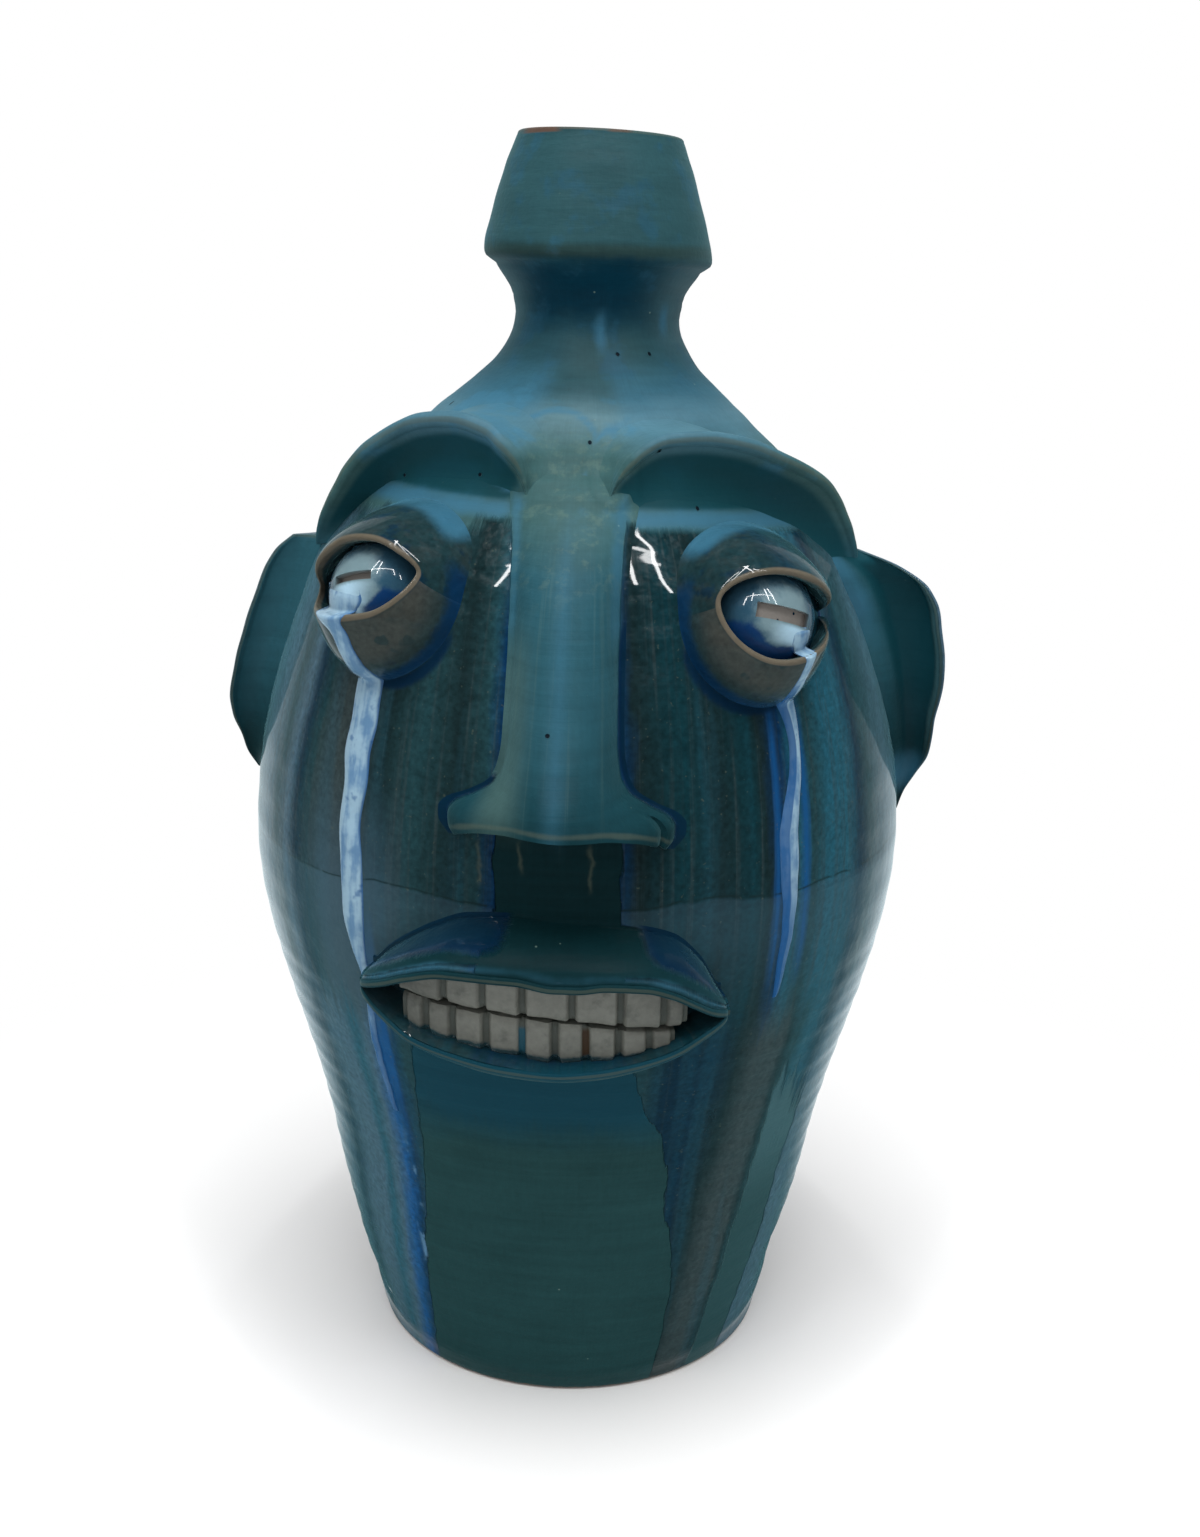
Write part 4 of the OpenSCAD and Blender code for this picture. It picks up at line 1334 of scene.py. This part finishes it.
# PHILTRUM is darkened partly by glaze pooled under the nose and partly as painted shadow of the nose
PHILTRUM = (0.002, 0.018, 0.022)
PETROL = (0.003, 0.040, 0.062)
CHIN_TEAL = (0.011, 0.045, 0.048)
BAND_TEAL = (0.040, 0.104, 0.120)
HOLLOW_SHADE_TEAL = (0.002, 0.038, 0.051)
CHEEK_TEAL = (0.003, 0.025, 0.033)
SOOT = (0.006, 0.016, 0.018)
SLATE = (0.010, 0.036, 0.043)
COBALT = (0.001, 0.021, 0.066)
POOL_BLUE = (0.001, 0.011, 0.040)
NAVY = (0.001, 0.014, 0.032)
BRIGHT_BLUE = (0.004, 0.062, 0.200)
STREAK_BROWN = (0.028, 0.041, 0.043)
MELT = (0.090, 0.200, 0.330)
RIVER_BLUE = (0.011, 0.072, 0.108)
FLANK = (0.046, 0.092, 0.130)
LICHEN = (0.078, 0.132, 0.112)
PALE_SPECK = (0.150, 0.230, 0.200)
WORN = (0.070, 0.085, 0.062)
BARE_CLAY = (0.160, 0.090, 0.060)
BROWN_CLAY = (0.080, 0.050, 0.038)
RUST = (0.050, 0.026, 0.012)
GLAZED = {
    "IOR": 1.5, "Specular IOR Level": 0.06, "Coat Roughness": 0.04, "Coat IOR": 1.42,
    "Sheen Weight": 0.1, "Sheen Roughness": 0.4, "Sheen Tint": (0.4, 0.92, 1.0),
}


def ramp(recipe, value, low, high, *stops):
    """Colours along a value, each at its own place."""
    scaled = [((at - low) / (high - low), colour) for at, colour in stops]
    return recipe.node("ShaderNodeValToRGB", {"stops": scaled}, {0: (value - low) / (high - low)})


# %% Glossy glaze
# How many degrees the streaks bend aside near the foot, by height, and the scale and seed of the strokes
# that a hand left when it wiped the wet glaze level.
FOOT_LEAN = ((0, 7.5), (30, 3.5), (75, 0), (270, 0))
WIPED = (0.03, 0.5, 3.0, 6.0)


def wall_patterns(r):
    """The angle of the wall with ragged edges, and the fine streaks, grain and mottle of its glaze."""
    wander = (r.streaks(0.05, 0.012, 2.0, 3.0) - 0.5) * 7.0
    ragged = (r.streaks(0.4, 0.09, 4.0, 8.0) - 0.5) * 3.2
    a = r.angle + wander + ragged
    return a, r.streaks(0.9, 0.012, 4.0, 1.0), r.clouds(1.1, 2.0), r.clouds(16, 4.0, 0.6)


def glossy_glaze(r, a, fine, grain):
    """Nearly black, with the brown, slate and cobalt streaks of the cheeks and of the flanks below them."""
    cheeks = ramp(
        r, a, -90, 90,
        (-88, FLANK), (-66, FLANK), (-60, SLATE), (-56, FLANK), (-52.5, NAVY), (-49, SLATE),
        (-46, STREAK_BROWN), (-41, STREAK_BROWN), (-33, SOOT), (-27, SLATE), (-20, SOOT), (-15.5, SLATE),
        (-12.5, COBALT), (6, COBALT), (9, SOOT), (16, CHEEK_TEAL), (22, SOOT), (28, CHEEK_TEAL), (31, SOOT),
        (34.5, COBALT), (37, RIVER_BLUE), (41, SLATE), (45, RIVER_BLUE), (50, RIVER_BLUE), (53.5, NAVY),
        (58, SLATE), (70, FLANK), (88, FLANK),
    )
    flanks = ramp(
        r, a + r.course(*FOOT_LEAN), -90, 90,
        (-88, FLANK), (-62, FLANK), (-56, NAVY), (-52, FLANK), (-46.5, FLANK), (-43.5, RIVER_BLUE),
        (-40.5, FLANK), (-37, BRIGHT_BLUE), (-34, COBALT), (-31, SLATE), (12, SLATE), (17, NAVY),
        (24, NAVY), (29, SOOT), (33.5, STREAK_BROWN), (39.5, STREAK_BROWN), (41, SOOT), (42.5, SLATE),
        (44, SLATE), (48, RIVER_BLUE), (53, NAVY), (57, FLANK), (88, FLANK),
    )
    low = r.step(r.high + (fine - 0.5) * 26.0, 104.0, 88.0)
    glossy = r.blend(low, cheeks, flanks)
    glossy = r.blend(r.step(fine, 0.50, 0.72) * (0.55 - low * 0.35), glossy, STREAK_BROWN)
    broad = r.streaks(0.16, 0.006, 2.0, 5.0)
    glossy = r.blend(r.step(broad, 0.52, 0.68) * 0.25, glossy, RIVER_BLUE)
    glossy = r.shade(glossy, 0.4 + grain * 1.2)

    # the tails of the runs, and the blue that they left in the glaze beside them
    melt = r.band(a, -36.6, 1.0, 0.9) * r.band(r.high, 44.0, 17.0, 8.0)
    glossy = r.blend(r.step(r.clouds(7, 4.0, 0.6), 0.50, 0.60) * melt * 0.8, glossy, MELT)
    trail = r.band(r.angle + (fine - 0.5) * 1.5, -35.4, 1.3, 0.8) * r.band(r.high, 94.0, 20.0, 8.0)
    glossy = r.blend(trail * 0.8, glossy, BRIGHT_BLUE)
    at = r.angle + (fine - 0.5) * 2.0
    beside_run = r.band(at, 39.2, 0.7, 0.7).most(r.band(at, 33.4, 0.6, 0.7))
    glossy = r.blend(beside_run * r.band(r.high, 134.0, 26.0, 8.0) * 0.8, glossy, BRIGHT_BLUE)
    upper_side = r.band(a, -39.0, 9.0, 5.0) * r.step(r.high, 150.0, 120.0) * (1.0 - low)
    glossy = r.blend(upper_side * 0.5, glossy, FLANK)

    # behind the ears: wide streaks
    behind = r.step(abs(r.angle), 72.0, 96.0)
    curtain = r.clouds(26, 4.0, 0.6)
    glossy = r.blend(behind * r.step(curtain, 0.46, 0.58) * 0.75, glossy, SLATE)
    glossy = r.blend(behind * r.step(broad, 0.50, 0.60) * 0.7, glossy, NAVY)
    glossy = r.blend(behind * r.step(fine, 0.50, 0.66) * 0.6, glossy, RIVER_BLUE)
    speck = r.step(r.clouds(0.9, 1.0), 0.70, 0.78)
    glossy = r.blend(speck * 0.35, glossy, WORN)

    # painted reflection of the table's edge: a dark line across the cheeks, with paler glaze below it
    depth = r.high + (r.clouds(38, 5.0) - 0.5) * 9.0
    glossy = r.blend(r.step(depth, 124.6, 123.8) * r.step(depth, 96.0, 120.0) * 0.22, glossy, FLANK)
    horizon_reflection = r.band(depth, 124.6, 0.16, 0.22) * r.step(r.streaks(0.2, 0.0, 3.0, 14.0), 0.40, 0.52)
    return r.blend(horizon_reflection * 0.9, glossy, SOOT)


# %% Matt glaze
def matt_glaze(r, grain, mottle):
    """Teals that change with the height, under patches of blue, olive and lichen and a few pale specks."""
    # the near-black band under the nose is partly pooled glaze and partly painted shadow of the nose
    matt = ramp(
        r, r.high + (mottle - 0.5) * 8.0, 0, 270,
        (2, CHIN_TEAL), (66, CHIN_TEAL), (78, PETROL), (95, PETROL), (104, LOW_NOSE), (118, PHILTRUM),
        (139, PHILTRUM), (149, LOW_NOSE), (163, NOSE_TEAL), (186, NOSE_TEAL), (196, OLIVE_TEAL),
        (207, OLIVE_TEAL), (214, SHOULDER_BLUE), (219, NECK_TEAL), (243, NECK_TEAL),
        (247, COLLAR_TEAL), (268, COLLAR_TEAL),
    )
    patch = r.clouds(9, 4.0, 0.6)
    aside = abs(r.angle + 3.0)

    # painted shade on the neck under the collar, deepest in front, and painted light on the neck's sides
    shaded = r.band(r.high + (patch - 0.5) * 9.0, 238.5, 6.5, 4.0) * r.step(aside, 66.0, 22.0)
    matt = r.blend(shaded, matt, UNDER_COLLAR)
    matt = r.blend(r.band(r.high + (patch - 0.5) * 1.5, 246.3, 1.3, 0.9) * 0.75, matt, OLIVE_BAND)
    matt = r.blend(r.step(aside, 34.0, 72.0) * r.band(r.high, 236.0, 9.0, 5.0) * 0.4, matt, SHOULDER_BLUE)
    olive = r.band(r.angle, 14.0, 26.0, 12.0) * r.band(r.high + mottle * 6.0, 228.0, 6.0, 4.0)
    matt = r.blend(olive * 0.6, matt, NECK_OLIVE)
    at = r.angle + (patch - 0.5) * 10.0
    blots = r.band(at, 9.5, 3.2, 3.0) * r.band(r.high, 230.5, 3.2, 2.5)
    blots = blots.most(r.band(at, 54.0, 3.5, 3.5) * r.band(r.high, 233.0, 2.5, 2.0))
    matt = r.blend(blots * 0.75, matt, SKY)
    upper = r.step(r.high, 216.0, 224.0)
    matt = r.blend(r.step(patch, 0.52, 0.64) * upper * 0.45, matt, SMALT)

    # pale blue on the shoulder, and a painted highlight in pale blue down the ridge of the nose
    sky = r.step(mottle, 0.50, 0.66) * r.step(r.high, 190.0, 206.0) * r.step(r.high, 228.0, 216.0)
    side_sky = r.step(abs(r.angle + 2.0), 9.0, 20.0) * r.step(r.high, 204.0, 212.0)
    matt = r.blend((sky * 0.7).most(side_sky * r.step(r.high, 228.0, 218.0) * 0.4), matt, SKY)
    centre = r.band(r.angle, -3.0, 0.9, 1.6) * r.band(r.high, 168.0, 26.0, 10.0)
    matt = r.blend(centre * 0.35, matt, SKY)

    # grey-green lichen on the forehead and in thin lines down the nose
    forehead = r.band(r.angle, -1.0, 15.0, 6.0) * r.band(r.high, 198.0, 14.0, 6.0)
    lichen = r.step(r.clouds(3.2, 5.0, 0.65), 0.50, 0.66) * forehead
    ridge = r.band(r.angle, -3.0, 9.0, 3.0) * r.band(r.high, 165.0, 26.0, 8.0)
    lines = r.step(r.streaks(1.1, 0.02, 3.0, 21.0), 0.56, 0.66) * ridge
    matt = r.blend(lichen.most(lines * 0.3) * 0.4, matt, LICHEN)
    matt = r.blend(r.band(r.angle, -11.0, 3.0, 2.5) * r.band(r.high, 158.0, 16.0, 8.0) * 0.4, matt, LICHEN)
    pale_speck = r.step(r.cells(6), 0.045, 0.025) * r.step(r.clouds(20, 2.0), 0.48, 0.56)
    matt = r.blend(pale_speck * 0.6, matt, PALE_SPECK)
    weave = r.streaks(1.6, 0.12, 2.0, 9.0)
    fleck = mottle * 0.42 + grain * 0.18 + r.streaks(*WIPED) * 0.38 + weave * 0.2
    return r.shade(matt, 0.40 + fleck)


def panels(r, a):
    """Where the bare wall is matt, with a band on the right, the chin, the lip's middle and the top."""
    left = r.course((0, -40.5), (20, -38), (40, -35.5), (60, -32), (75, -31), (92, -28), (270, -28))
    right = r.course(
        (0, 23.5), (18, 24.8), (35, 24.5), (50, 21.5), (62, 20.5), (70, 18), (80, 13), (92, 10), (270, 10)
    )
    chin = r.step(a - left, -0.6, 0.6) * r.step(a - right, 0.6, -0.6) * r.step(r.high, 97.0, 93.0)
    lip = r.step(a, -13.0, -12.0) * r.step(a, 7.0, 6.0) * r.band(r.high, 128.0, 14.0, 2.0)
    ends = r.step(r.high + (r.streaks(0.3, 0.02, 3.0, 7.0) - 0.5) * 40.0, 92.0, 66.0)
    right_band = r.band(a + r.course(*FOOT_LEAN), 49.0, 6.6, 1.2) * ends
    top = r.step(r.high + (r.streaks(0.12, 0.05, 3.0, 2.0) - 0.5) * 12.0, 190.0, 200.0)
    return chin.most(lip).most(right_band * 0.8).most(top), right_band


# %% Teal glaze
PINHOLES = (
    (18.0, 226.2), (1.6, 209.8), (-4.3, 160.1), (17.6, 209.2), (37.8, 226.3), (-66.4, 215.3),
    (-51.7, 201.8), (27.0, 198.0), (-26.9, 203.4), (84.8, 184.7), (71.6, 147.1),
)
PINHOLE_BLACK = (0.002, 0.006, 0.012)
DRIPS = ((-15.2, 137.0, 129.0), (-8.7, 137.0, 132.0), (1.9, 137.0, 128.6))


def add_haze(r, colour, mottle):
    """Pale blue haze where the glaze cooled slowly in a hollow."""
    return r.blend(r.ragged("haze", mottle, 0.9, 0.15, 0.95) * 0.8, colour, SKY)


def worn_rim(r, colour):
    """Brown clay shows along the rim and in two chips at its front."""
    chips = r.band(r.x, -0.0098, 0.0036, 0.0012).most(r.band(r.x, 0.0060, 0.0022, 0.0010) * 0.8)
    chips = r.step(r.high, 269.1, 269.5) * chips * r.step(r.y, 0.0, -0.004)
    return r.blend(chips.most(r.step(r.high, 269.6, 269.85) * 0.3), colour, BROWN_CLAY)


def pinholes(r):
    """Scattered pinholes, and the larger ones at their own places."""
    pins = r.step(r.cells(34), 0.017, 0.010)
    for turn, high in PINHOLES:
        per_degree = math.radians(wall_r(high * MM) / MM)
        away = r.maths("SQRT", ((r.angle - turn) * per_degree) ** 2.0 + (r.high - high) ** 2.0)
        pins = pins.most(r.step(away, 0.44, 0.28))
    return pins


def make_teal_glaze():
    r = Surface("teal glaze")
    a, fine, grain, mottle = wall_patterns(r)
    matt, glossy = matt_glaze(r, grain, mottle), glossy_glaze(r, a, fine, grain)
    matt_wall, right_band = panels(r, a)
    band_teal = r.blend(r.step(r.high, 66.0, 40.0) * 0.75, BAND_TEAL, CHIN_TEAL)
    matt = r.blend(right_band * 0.9, matt, band_teal)
    where_matt = r.look("matt").most(matt_wall)
    where_matt = r.step(where_matt + (fine - 0.5) * 0.3 + (mottle - 0.5) * 0.7, 0.3, 0.7)
    colour = r.blend(where_matt, glossy, matt)
    under_lip = r.band(a, -8.0, 20.0, 3.0) * r.band(r.high + fine * 12.0, 92.0, 12.0, 3.0)
    colour = r.blend(under_lip * where_matt * 0.8, colour, PETROL)
    # painted shade: hollows marked deep darken to a near-black teal
    colour = r.blend(r.ragged("deep", mottle, 0.5, 0.1, 0.8) * 0.9, colour, HOLLOW_SHADE_TEAL)
    colour = add_haze(r, colour, mottle)
    wobble = (r.clouds(5, 3.0) - 0.5) * 3.0
    for at, top, bottom in DRIPS:
        drip = r.band(r.high, (top + bottom) / 2, (top - bottom) / 2, 1.5)
        colour = r.blend(r.band(r.angle + wobble, at, 0.25, 0.4) * drip * 0.5, colour, WORN)
    pool = r.ragged("pool", grain, 0.25, 0.25, 0.75)
    colour = r.blend(pool * 0.95, colour, r.blend(r.look("pool") ** 1.5, POOL_BLUE, NAVY))
    worn = r.ragged("thin", mottle, 0.9, 0.45, 0.9)
    colour = r.blend(worn * 0.4, colour, WORN)
    colour = worn_rim(r, colour)
    foot = r.step(r.high + (r.streaks(0.3, 0.0, 3.0, 4.0) - 0.5) * 1.6, 0.9, 0.3)
    colour = r.blend(foot, colour, BARE_CLAY)
    pins = pinholes(r)
    colour = r.blend(pins, colour, PINHOLE_BLACK)
    gloss = (1.0 - where_matt).most(pool) * r.step(r.high, 1.5, 8.0)
    socket = r.step(r.high, 168.0, 184.0) * 0.5
    surface = r.bump((r.clouds(13, 2.0) + r.clouds(4, 2.0) * (socket + 0.22)) * gloss, 1.5)
    surface = r.bump(grain * 0.5 + r.streaks(*WIPED) * 1.2, 0.12, surface)
    surface = r.bump(-pins, 0.5, surface)
    return r.finish(
        GLAZED,
        **{
            "Base Color": colour,
            "Roughness": 0.46 - gloss * 0.16 + (mottle - 0.5) * 0.14,
            "Coat Weight": gloss,
            "Normal": surface,
        },
    )


# %% [markdown]
# ## Lids, eyes, glass and teeth
# The lids are the same clay under a clear brownish glaze, worn to bare clay along their rims, with cobalt
# caught in the crease where they meet the cheek. The balls are white slip under clear glass that turned
# blue where it pooled. The tears are streaks of white and blue glass. The teeth are pale clay, hardly
# glazed, with dark glaze caught in the grooves between them.

# %% Lid glaze
LID_DARK = (0.007, 0.023, 0.027)
LID_BROWN = (0.044, 0.046, 0.040)
LID_RIM = (0.110, 0.092, 0.066)


def make_lid_glaze():
    r = Surface("lid glaze")
    a, fine, grain, mottle = wall_patterns(r)
    smudge = r.step(r.clouds(7, 3.0, 0.6), 0.48, 0.68)
    colour = r.blend(0.75, glossy_glaze(r, a, fine, grain), LID_DARK)
    colour = r.blend(smudge * 0.2, colour, LID_BROWN)
    colour = r.blend(r.step(r.clouds(5, 3.0, 0.6), 0.54, 0.66) * 0.7, colour, NAVY)
    colour = r.blend(r.look("deep") * (0.85 - smudge * 0.3), colour, LID_BROWN)
    colour = r.blend(r.look("deep") * r.step(r.clouds(4.5, 2.0), 0.60, 0.66) * 0.6, colour, LID_DARK)
    colour = r.shade(colour, 0.6 + grain * 0.8)
    colour = add_haze(r, colour, mottle)
    rim = r.ragged("thin", mottle, 0.5, 0.3, 0.8)
    colour = r.blend(rim * 0.85, colour, LID_RIM)
    pool = r.ragged("pool", grain, 0.3, 0.2, 0.8)
    colour = r.blend(pool * 0.9, colour, COBALT)
    gloss = 1.0 - r.look("matt") * 0.9
    surface = r.bump(r.clouds(10, 2.0) + r.clouds(4.5, 2.0) * 0.4, 1.7)
    surface = r.bump(grain, 0.05, surface)
    return r.finish(
        GLAZED,
        **{
            "Base Color": colour,
            "Roughness": 0.42 - gloss * 0.1,
            "Coat Weight": gloss * (1.0 - rim * 0.6),
            "Normal": surface,
        },
    )


# %% Eye glaze, tear glass and tooth clay
EYE_PALE = (0.130, 0.200, 0.225)
EYE_BLUE = (0.020, 0.062, 0.100)
GLASS_WHITE = (0.240, 0.370, 0.470)
FRESH_GLASS = (0.330, 0.500, 0.620)
GLASS_BLUE = (0.100, 0.200, 0.330)
SLIT_CLAY = (0.200, 0.185, 0.170)
EYE_COBALT = (0.002, 0.026, 0.100)
TOOTH = (0.150, 0.156, 0.138)
TOOTH_STAIN = (0.050, 0.058, 0.050)


def make_eye_glaze():
    r = Surface("eye glaze")
    swirl = r.clouds(3.5, 4.0, 0.6)
    colour = r.blend(r.ragged("deep", swirl, 0.9, 0.2, 0.85), EYE_PALE, EYE_BLUE)
    colour = r.blend(r.look("haze"), colour, FRESH_GLASS)
    drowned = r.ragged("pool", swirl, 0.8, 0.3, 0.8)
    colour = r.blend(drowned * 0.95, colour, EYE_COBALT)
    colour = r.blend(r.look("thin"), colour, SLIT_CLAY)
    colour = r.blend(r.look("thin") * r.step(r.cells(3.4), 0.12, 0.08), colour, NAVY)
    surface = r.bump(r.clouds(4, 3.0), 0.5)
    return r.finish(
        {"IOR": 1.5, "Coat Roughness": 0.03, "Coat IOR": 1.5, "Roughness": 0.25, "Specular IOR Level": 0.1},
        **{"Base Color": colour, "Coat Weight": 1.0 - r.look("thin"), "Normal": surface},
    )


def make_run_glass():
    r = Surface("run glass")
    strands = r.streaks(0.7, 0.06, 4.0, 2.0)
    drops = r.clouds(5, 3.0, 0.6)
    colour = r.blend(r.step(strands * 0.5 + drops * 0.5, 0.38, 0.56), GLASS_BLUE, GLASS_WHITE)
    colour = r.blend(r.ragged("pool", drops, 0.7, 0.45, 0.85) * 0.8, colour, BRIGHT_BLUE)
    colour = r.blend(r.step(drops, 0.60, 0.70) * 0.6, colour, BRIGHT_BLUE)
    colour = r.blend(r.ragged("haze", drops, 0.4, 0.66, 0.86) * 0.75, colour, BRIGHT_BLUE)
    surface = r.bump(r.clouds(6, 3.0), 0.6)
    return r.finish(
        {
            "IOR": 1.5, "Roughness": 0.2, "Specular IOR Level": 0.15,
            "Coat Weight": 0.8, "Coat Roughness": 0.04, "Coat IOR": 1.5,
        },
        **{"Base Color": colour, "Normal": surface},
    )


def make_tooth_clay():
    r = Surface("tooth clay")
    stain = r.clouds(4, 4.0, 0.6)
    # painted shade: the teeth darken towards the corners of the mouth
    aside = r.step(abs(r.x + 0.005), 0.010, 0.032)
    colour = r.blend(r.step(stain, 0.5, 0.75) * 0.5, TOOTH, TOOTH_STAIN)
    colour = r.shade(colour, 0.74 + r.clouds(1.2, 2.0) * 0.4 - aside * 0.35)
    groove = r.step(r.look("pool"), 0.35, 0.95)
    colour = r.blend(groove * 0.85, colour, TOOTH_STAIN)
    for at, tint in ((-0.0097, RIVER_BLUE), (0.0022, RUST)):
        tinted = r.band(r.x, at, 0.0012, 0.0004) * r.step(r.high, 103.0, 102.0)
        colour = r.blend(groove * tinted, colour, tint)
    foot = r.ragged("haze", stain, 0.9, 0.35, 0.7)
    colour = r.blend(foot * 0.85, colour, LOW_NOSE)
    surface = r.bump(stain, 0.35)
    surface = r.bump(r.clouds(0.8, 2.0), 0.06, surface)
    return r.finish(
        {"IOR": 1.5, "Coat Roughness": 0.1, "Coat IOR": 1.5, "Specular IOR Level": 0.4},
        **{
            "Base Color": colour,
            "Roughness": 0.5 - foot * 0.3,
            "Coat Weight": foot * 0.8,
            "Normal": surface,
        },
    )


finishes = {
    "teal_glaze": make_teal_glaze(),
    "lid_glaze": make_lid_glaze(),
    "eye_glaze": make_eye_glaze(),
    "run_glass": make_run_glass(),
    "tooth_clay": make_tooth_clay(),
}
for slot_name, members in slots.items():
    for piece in members:
        piece.data.materials.clear()
        piece.data.materials.append(finishes[slot_name])
print({slot_name: len(members) for slot_name, members in slots.items()})

# %% [markdown]
# ## Floor, light and camera
# The jug stands on a plain pale floor in soft studio light that comes mostly from above, which is why its
# shoulder looks so much paler than its chin. The floor is real round the jug, to hold its shadow, and turns
# into plain white further out, for the eye of the camera only. Four slim lamps and a bar overhead make the
# fine lines of light on the wet-looking glaze. Cards round the jug, dark in front and paler behind, are
# seen by reflections only, and keep the cheeks deep.

# %% Floor
def lit_for_camera(recipe):
    """1 for rays that come from the camera, a reflection or a pane of glass."""
    rays = recipe.node("ShaderNodeLightPath", out=None)
    kinds = [Value(recipe, rays.outputs[f"Is {kind} Ray"]) for kind in ("Camera", "Glossy", "Transmission")]
    return kinds[0].most(kinds[1]).most(kinds[2])


def make_floor():
    mesh = bmesh.new()
    bmesh.ops.create_grid(mesh, x_segments=1, y_segments=1, size=6.0)
    floor = as_object(mesh, "floor")
    r = Surface("pale floor")
    away = r.maths("SQRT", r.x * r.x + r.y * r.y)
    white = r.step(away, 0.08, 0.24) * lit_for_camera(r)
    paper = r.node("ShaderNodeBsdfDiffuse", inputs={"Color": (0.86, 0.86, 0.86)})
    light = r.node("ShaderNodeEmission", inputs={"Color": (1.0, 1.0, 1.0), "Strength": 1.0})
    both = r.node("ShaderNodeMixShader", inputs={0: white, 1: paper, 2: light})
    r.node("ShaderNodeOutputMaterial", inputs={0: both}, out=None)
    floor.data.materials.append(r.owner)
    print("floor", floor.dimensions.x, "m wide")


make_floor()


# %% Lamps
MIDDLE = (0, 0, 0.14)
LINE_AIM = (0, 0, 0.2)


def area_light(name, at, towards, size, size_y, power):
    data = bpy.data.lights.new(name, "AREA")
    data.shape = "RECTANGLE"
    data.size, data.size_y = size, size_y
    data.energy = power
    light = bpy.data.objects.new(name, data)
    light.location = at
    light.rotation_mode = "QUATERNION"
    light.rotation_quaternion = (Vector(towards) - Vector(at)).to_track_quat("-Z", "Y")
    bpy.context.scene.collection.objects.link(light)
    return light


for lamp, at, size, size_y, power in (
    ("top_softbox", (0.0, -0.12, 0.95), 0.8, 0.7, 5),
    ("front_fill", (-0.25, -1.1, 0.55), 0.5, 0.5, 1.8),
    ("left_side_fill", (-0.95, 0.15, 0.45), 0.6, 0.6, 1.1),
    ("right_side_fill", (0.95, 0.15, 0.45), 0.6, 0.6, 1.1),
):
    area_light(lamp, at, MIDDLE, size, size_y, power).visible_glossy = False
for lamp, x, y in (
    ("left_strip", -0.34, -0.42),
    ("right_strip", 0.34, -0.42),
    ("left_tube", -0.11, -0.28),
    ("right_tube", 0.13, -0.28),
):
    area_light(lamp, (x, y, 1.0), LINE_AIM, 0.022, 0.8, 1.6)
area_light("front_bar", (0, -0.5, 1.0), LINE_AIM, 0.9, 0.02, 1.2)
print(len(bpy.data.lights), "lamps")


# %% Cards for the reflections
def make_card(name, outline, front, back):
    """A sheet bent round the jug, dark in front and paler behind, which only reflections see."""
    card = as_object(spun(outline, 96), name)
    card.visible_camera = card.visible_diffuse = card.visible_shadow = False
    r = Surface(name)
    dark, pale = (front * 0.35, front * 0.95, front * 1.1), (back * 0.9, back, back * 1.05)
    colour = r.blend(r.step(abs(r.angle), 98.0, 142.0), dark, pale)
    felt = r.node("ShaderNodeBsdfDiffuse", inputs={"Color": colour})
    r.node("ShaderNodeOutputMaterial", inputs={0: felt}, out=None)
    card.data.materials.append(r.owner)
    print(name, "reaches", [round(reach / MM) for reach, _ in outline], "mm out")


make_card("table_card", ((0.047, 0.003), (0.42, 0.003)), 0.12, 0.6)
make_card("room_card", ((0.42, 0.003), (1.4, 0.003), (1.4, 1.5)), 0.02, 0.5)
make_card("ceiling_card", ((1.4, 1.5), (0.0, 1.5)), 0.03, 0.03)

# %% Camera at the photograph's place
PHOTO_H = 1537
FOCAL_PX = 1727
CAMERA_AT = Vector((0, -0.383, 0.239))
PITCH, ROLL, YAW = (math.radians(a) for a in (15.51, 1.20, 0.73))


def make_camera():
    forward = Vector((math.sin(YAW) * math.cos(PITCH), math.cos(YAW) * math.cos(PITCH), -math.sin(PITCH)))
    level = Vector((math.cos(YAW), -math.sin(YAW), 0))
    upright = level.cross(forward)
    right = math.cos(ROLL) * level + math.sin(ROLL) * upright
    top = math.cos(ROLL) * upright - math.sin(ROLL) * level
    data = bpy.data.cameras.new("camera")
    data.sensor_width = 36
    data.lens = FOCAL_PX / PHOTO_H * data.sensor_width
    data.clip_start = 0.01
    camera = bpy.data.objects.new("camera", data)
    place = Matrix((right, top, -forward)).transposed().to_4x4()
    place.translation = CAMERA_AT
    camera.matrix_world = place
    bpy.context.scene.collection.objects.link(camera)
    bpy.context.scene.camera = camera
    return camera


camera = make_camera()
print("camera at", tuple(camera.location), "with a lens of", round(camera.data.lens, 1), "mm")

# %% World
AMBIENT = 0.42


def make_world():
    """Plain white for the camera, and dimmer as a light."""
    world = bpy.data.worlds.new("studio")
    bpy.context.scene.world = world
    r = Recipe(world)
    level = lit_for_camera(r) * (1.0 - AMBIENT) + AMBIENT
    sky = r.node("ShaderNodeBackground", inputs={"Color": (1.0, 1.0, 1.0), "Strength": level})
    r.node("ShaderNodeOutputWorld", inputs={0: sky}, out=None)


make_world()
bpy.context.scene.view_settings.view_transform = "Standard"
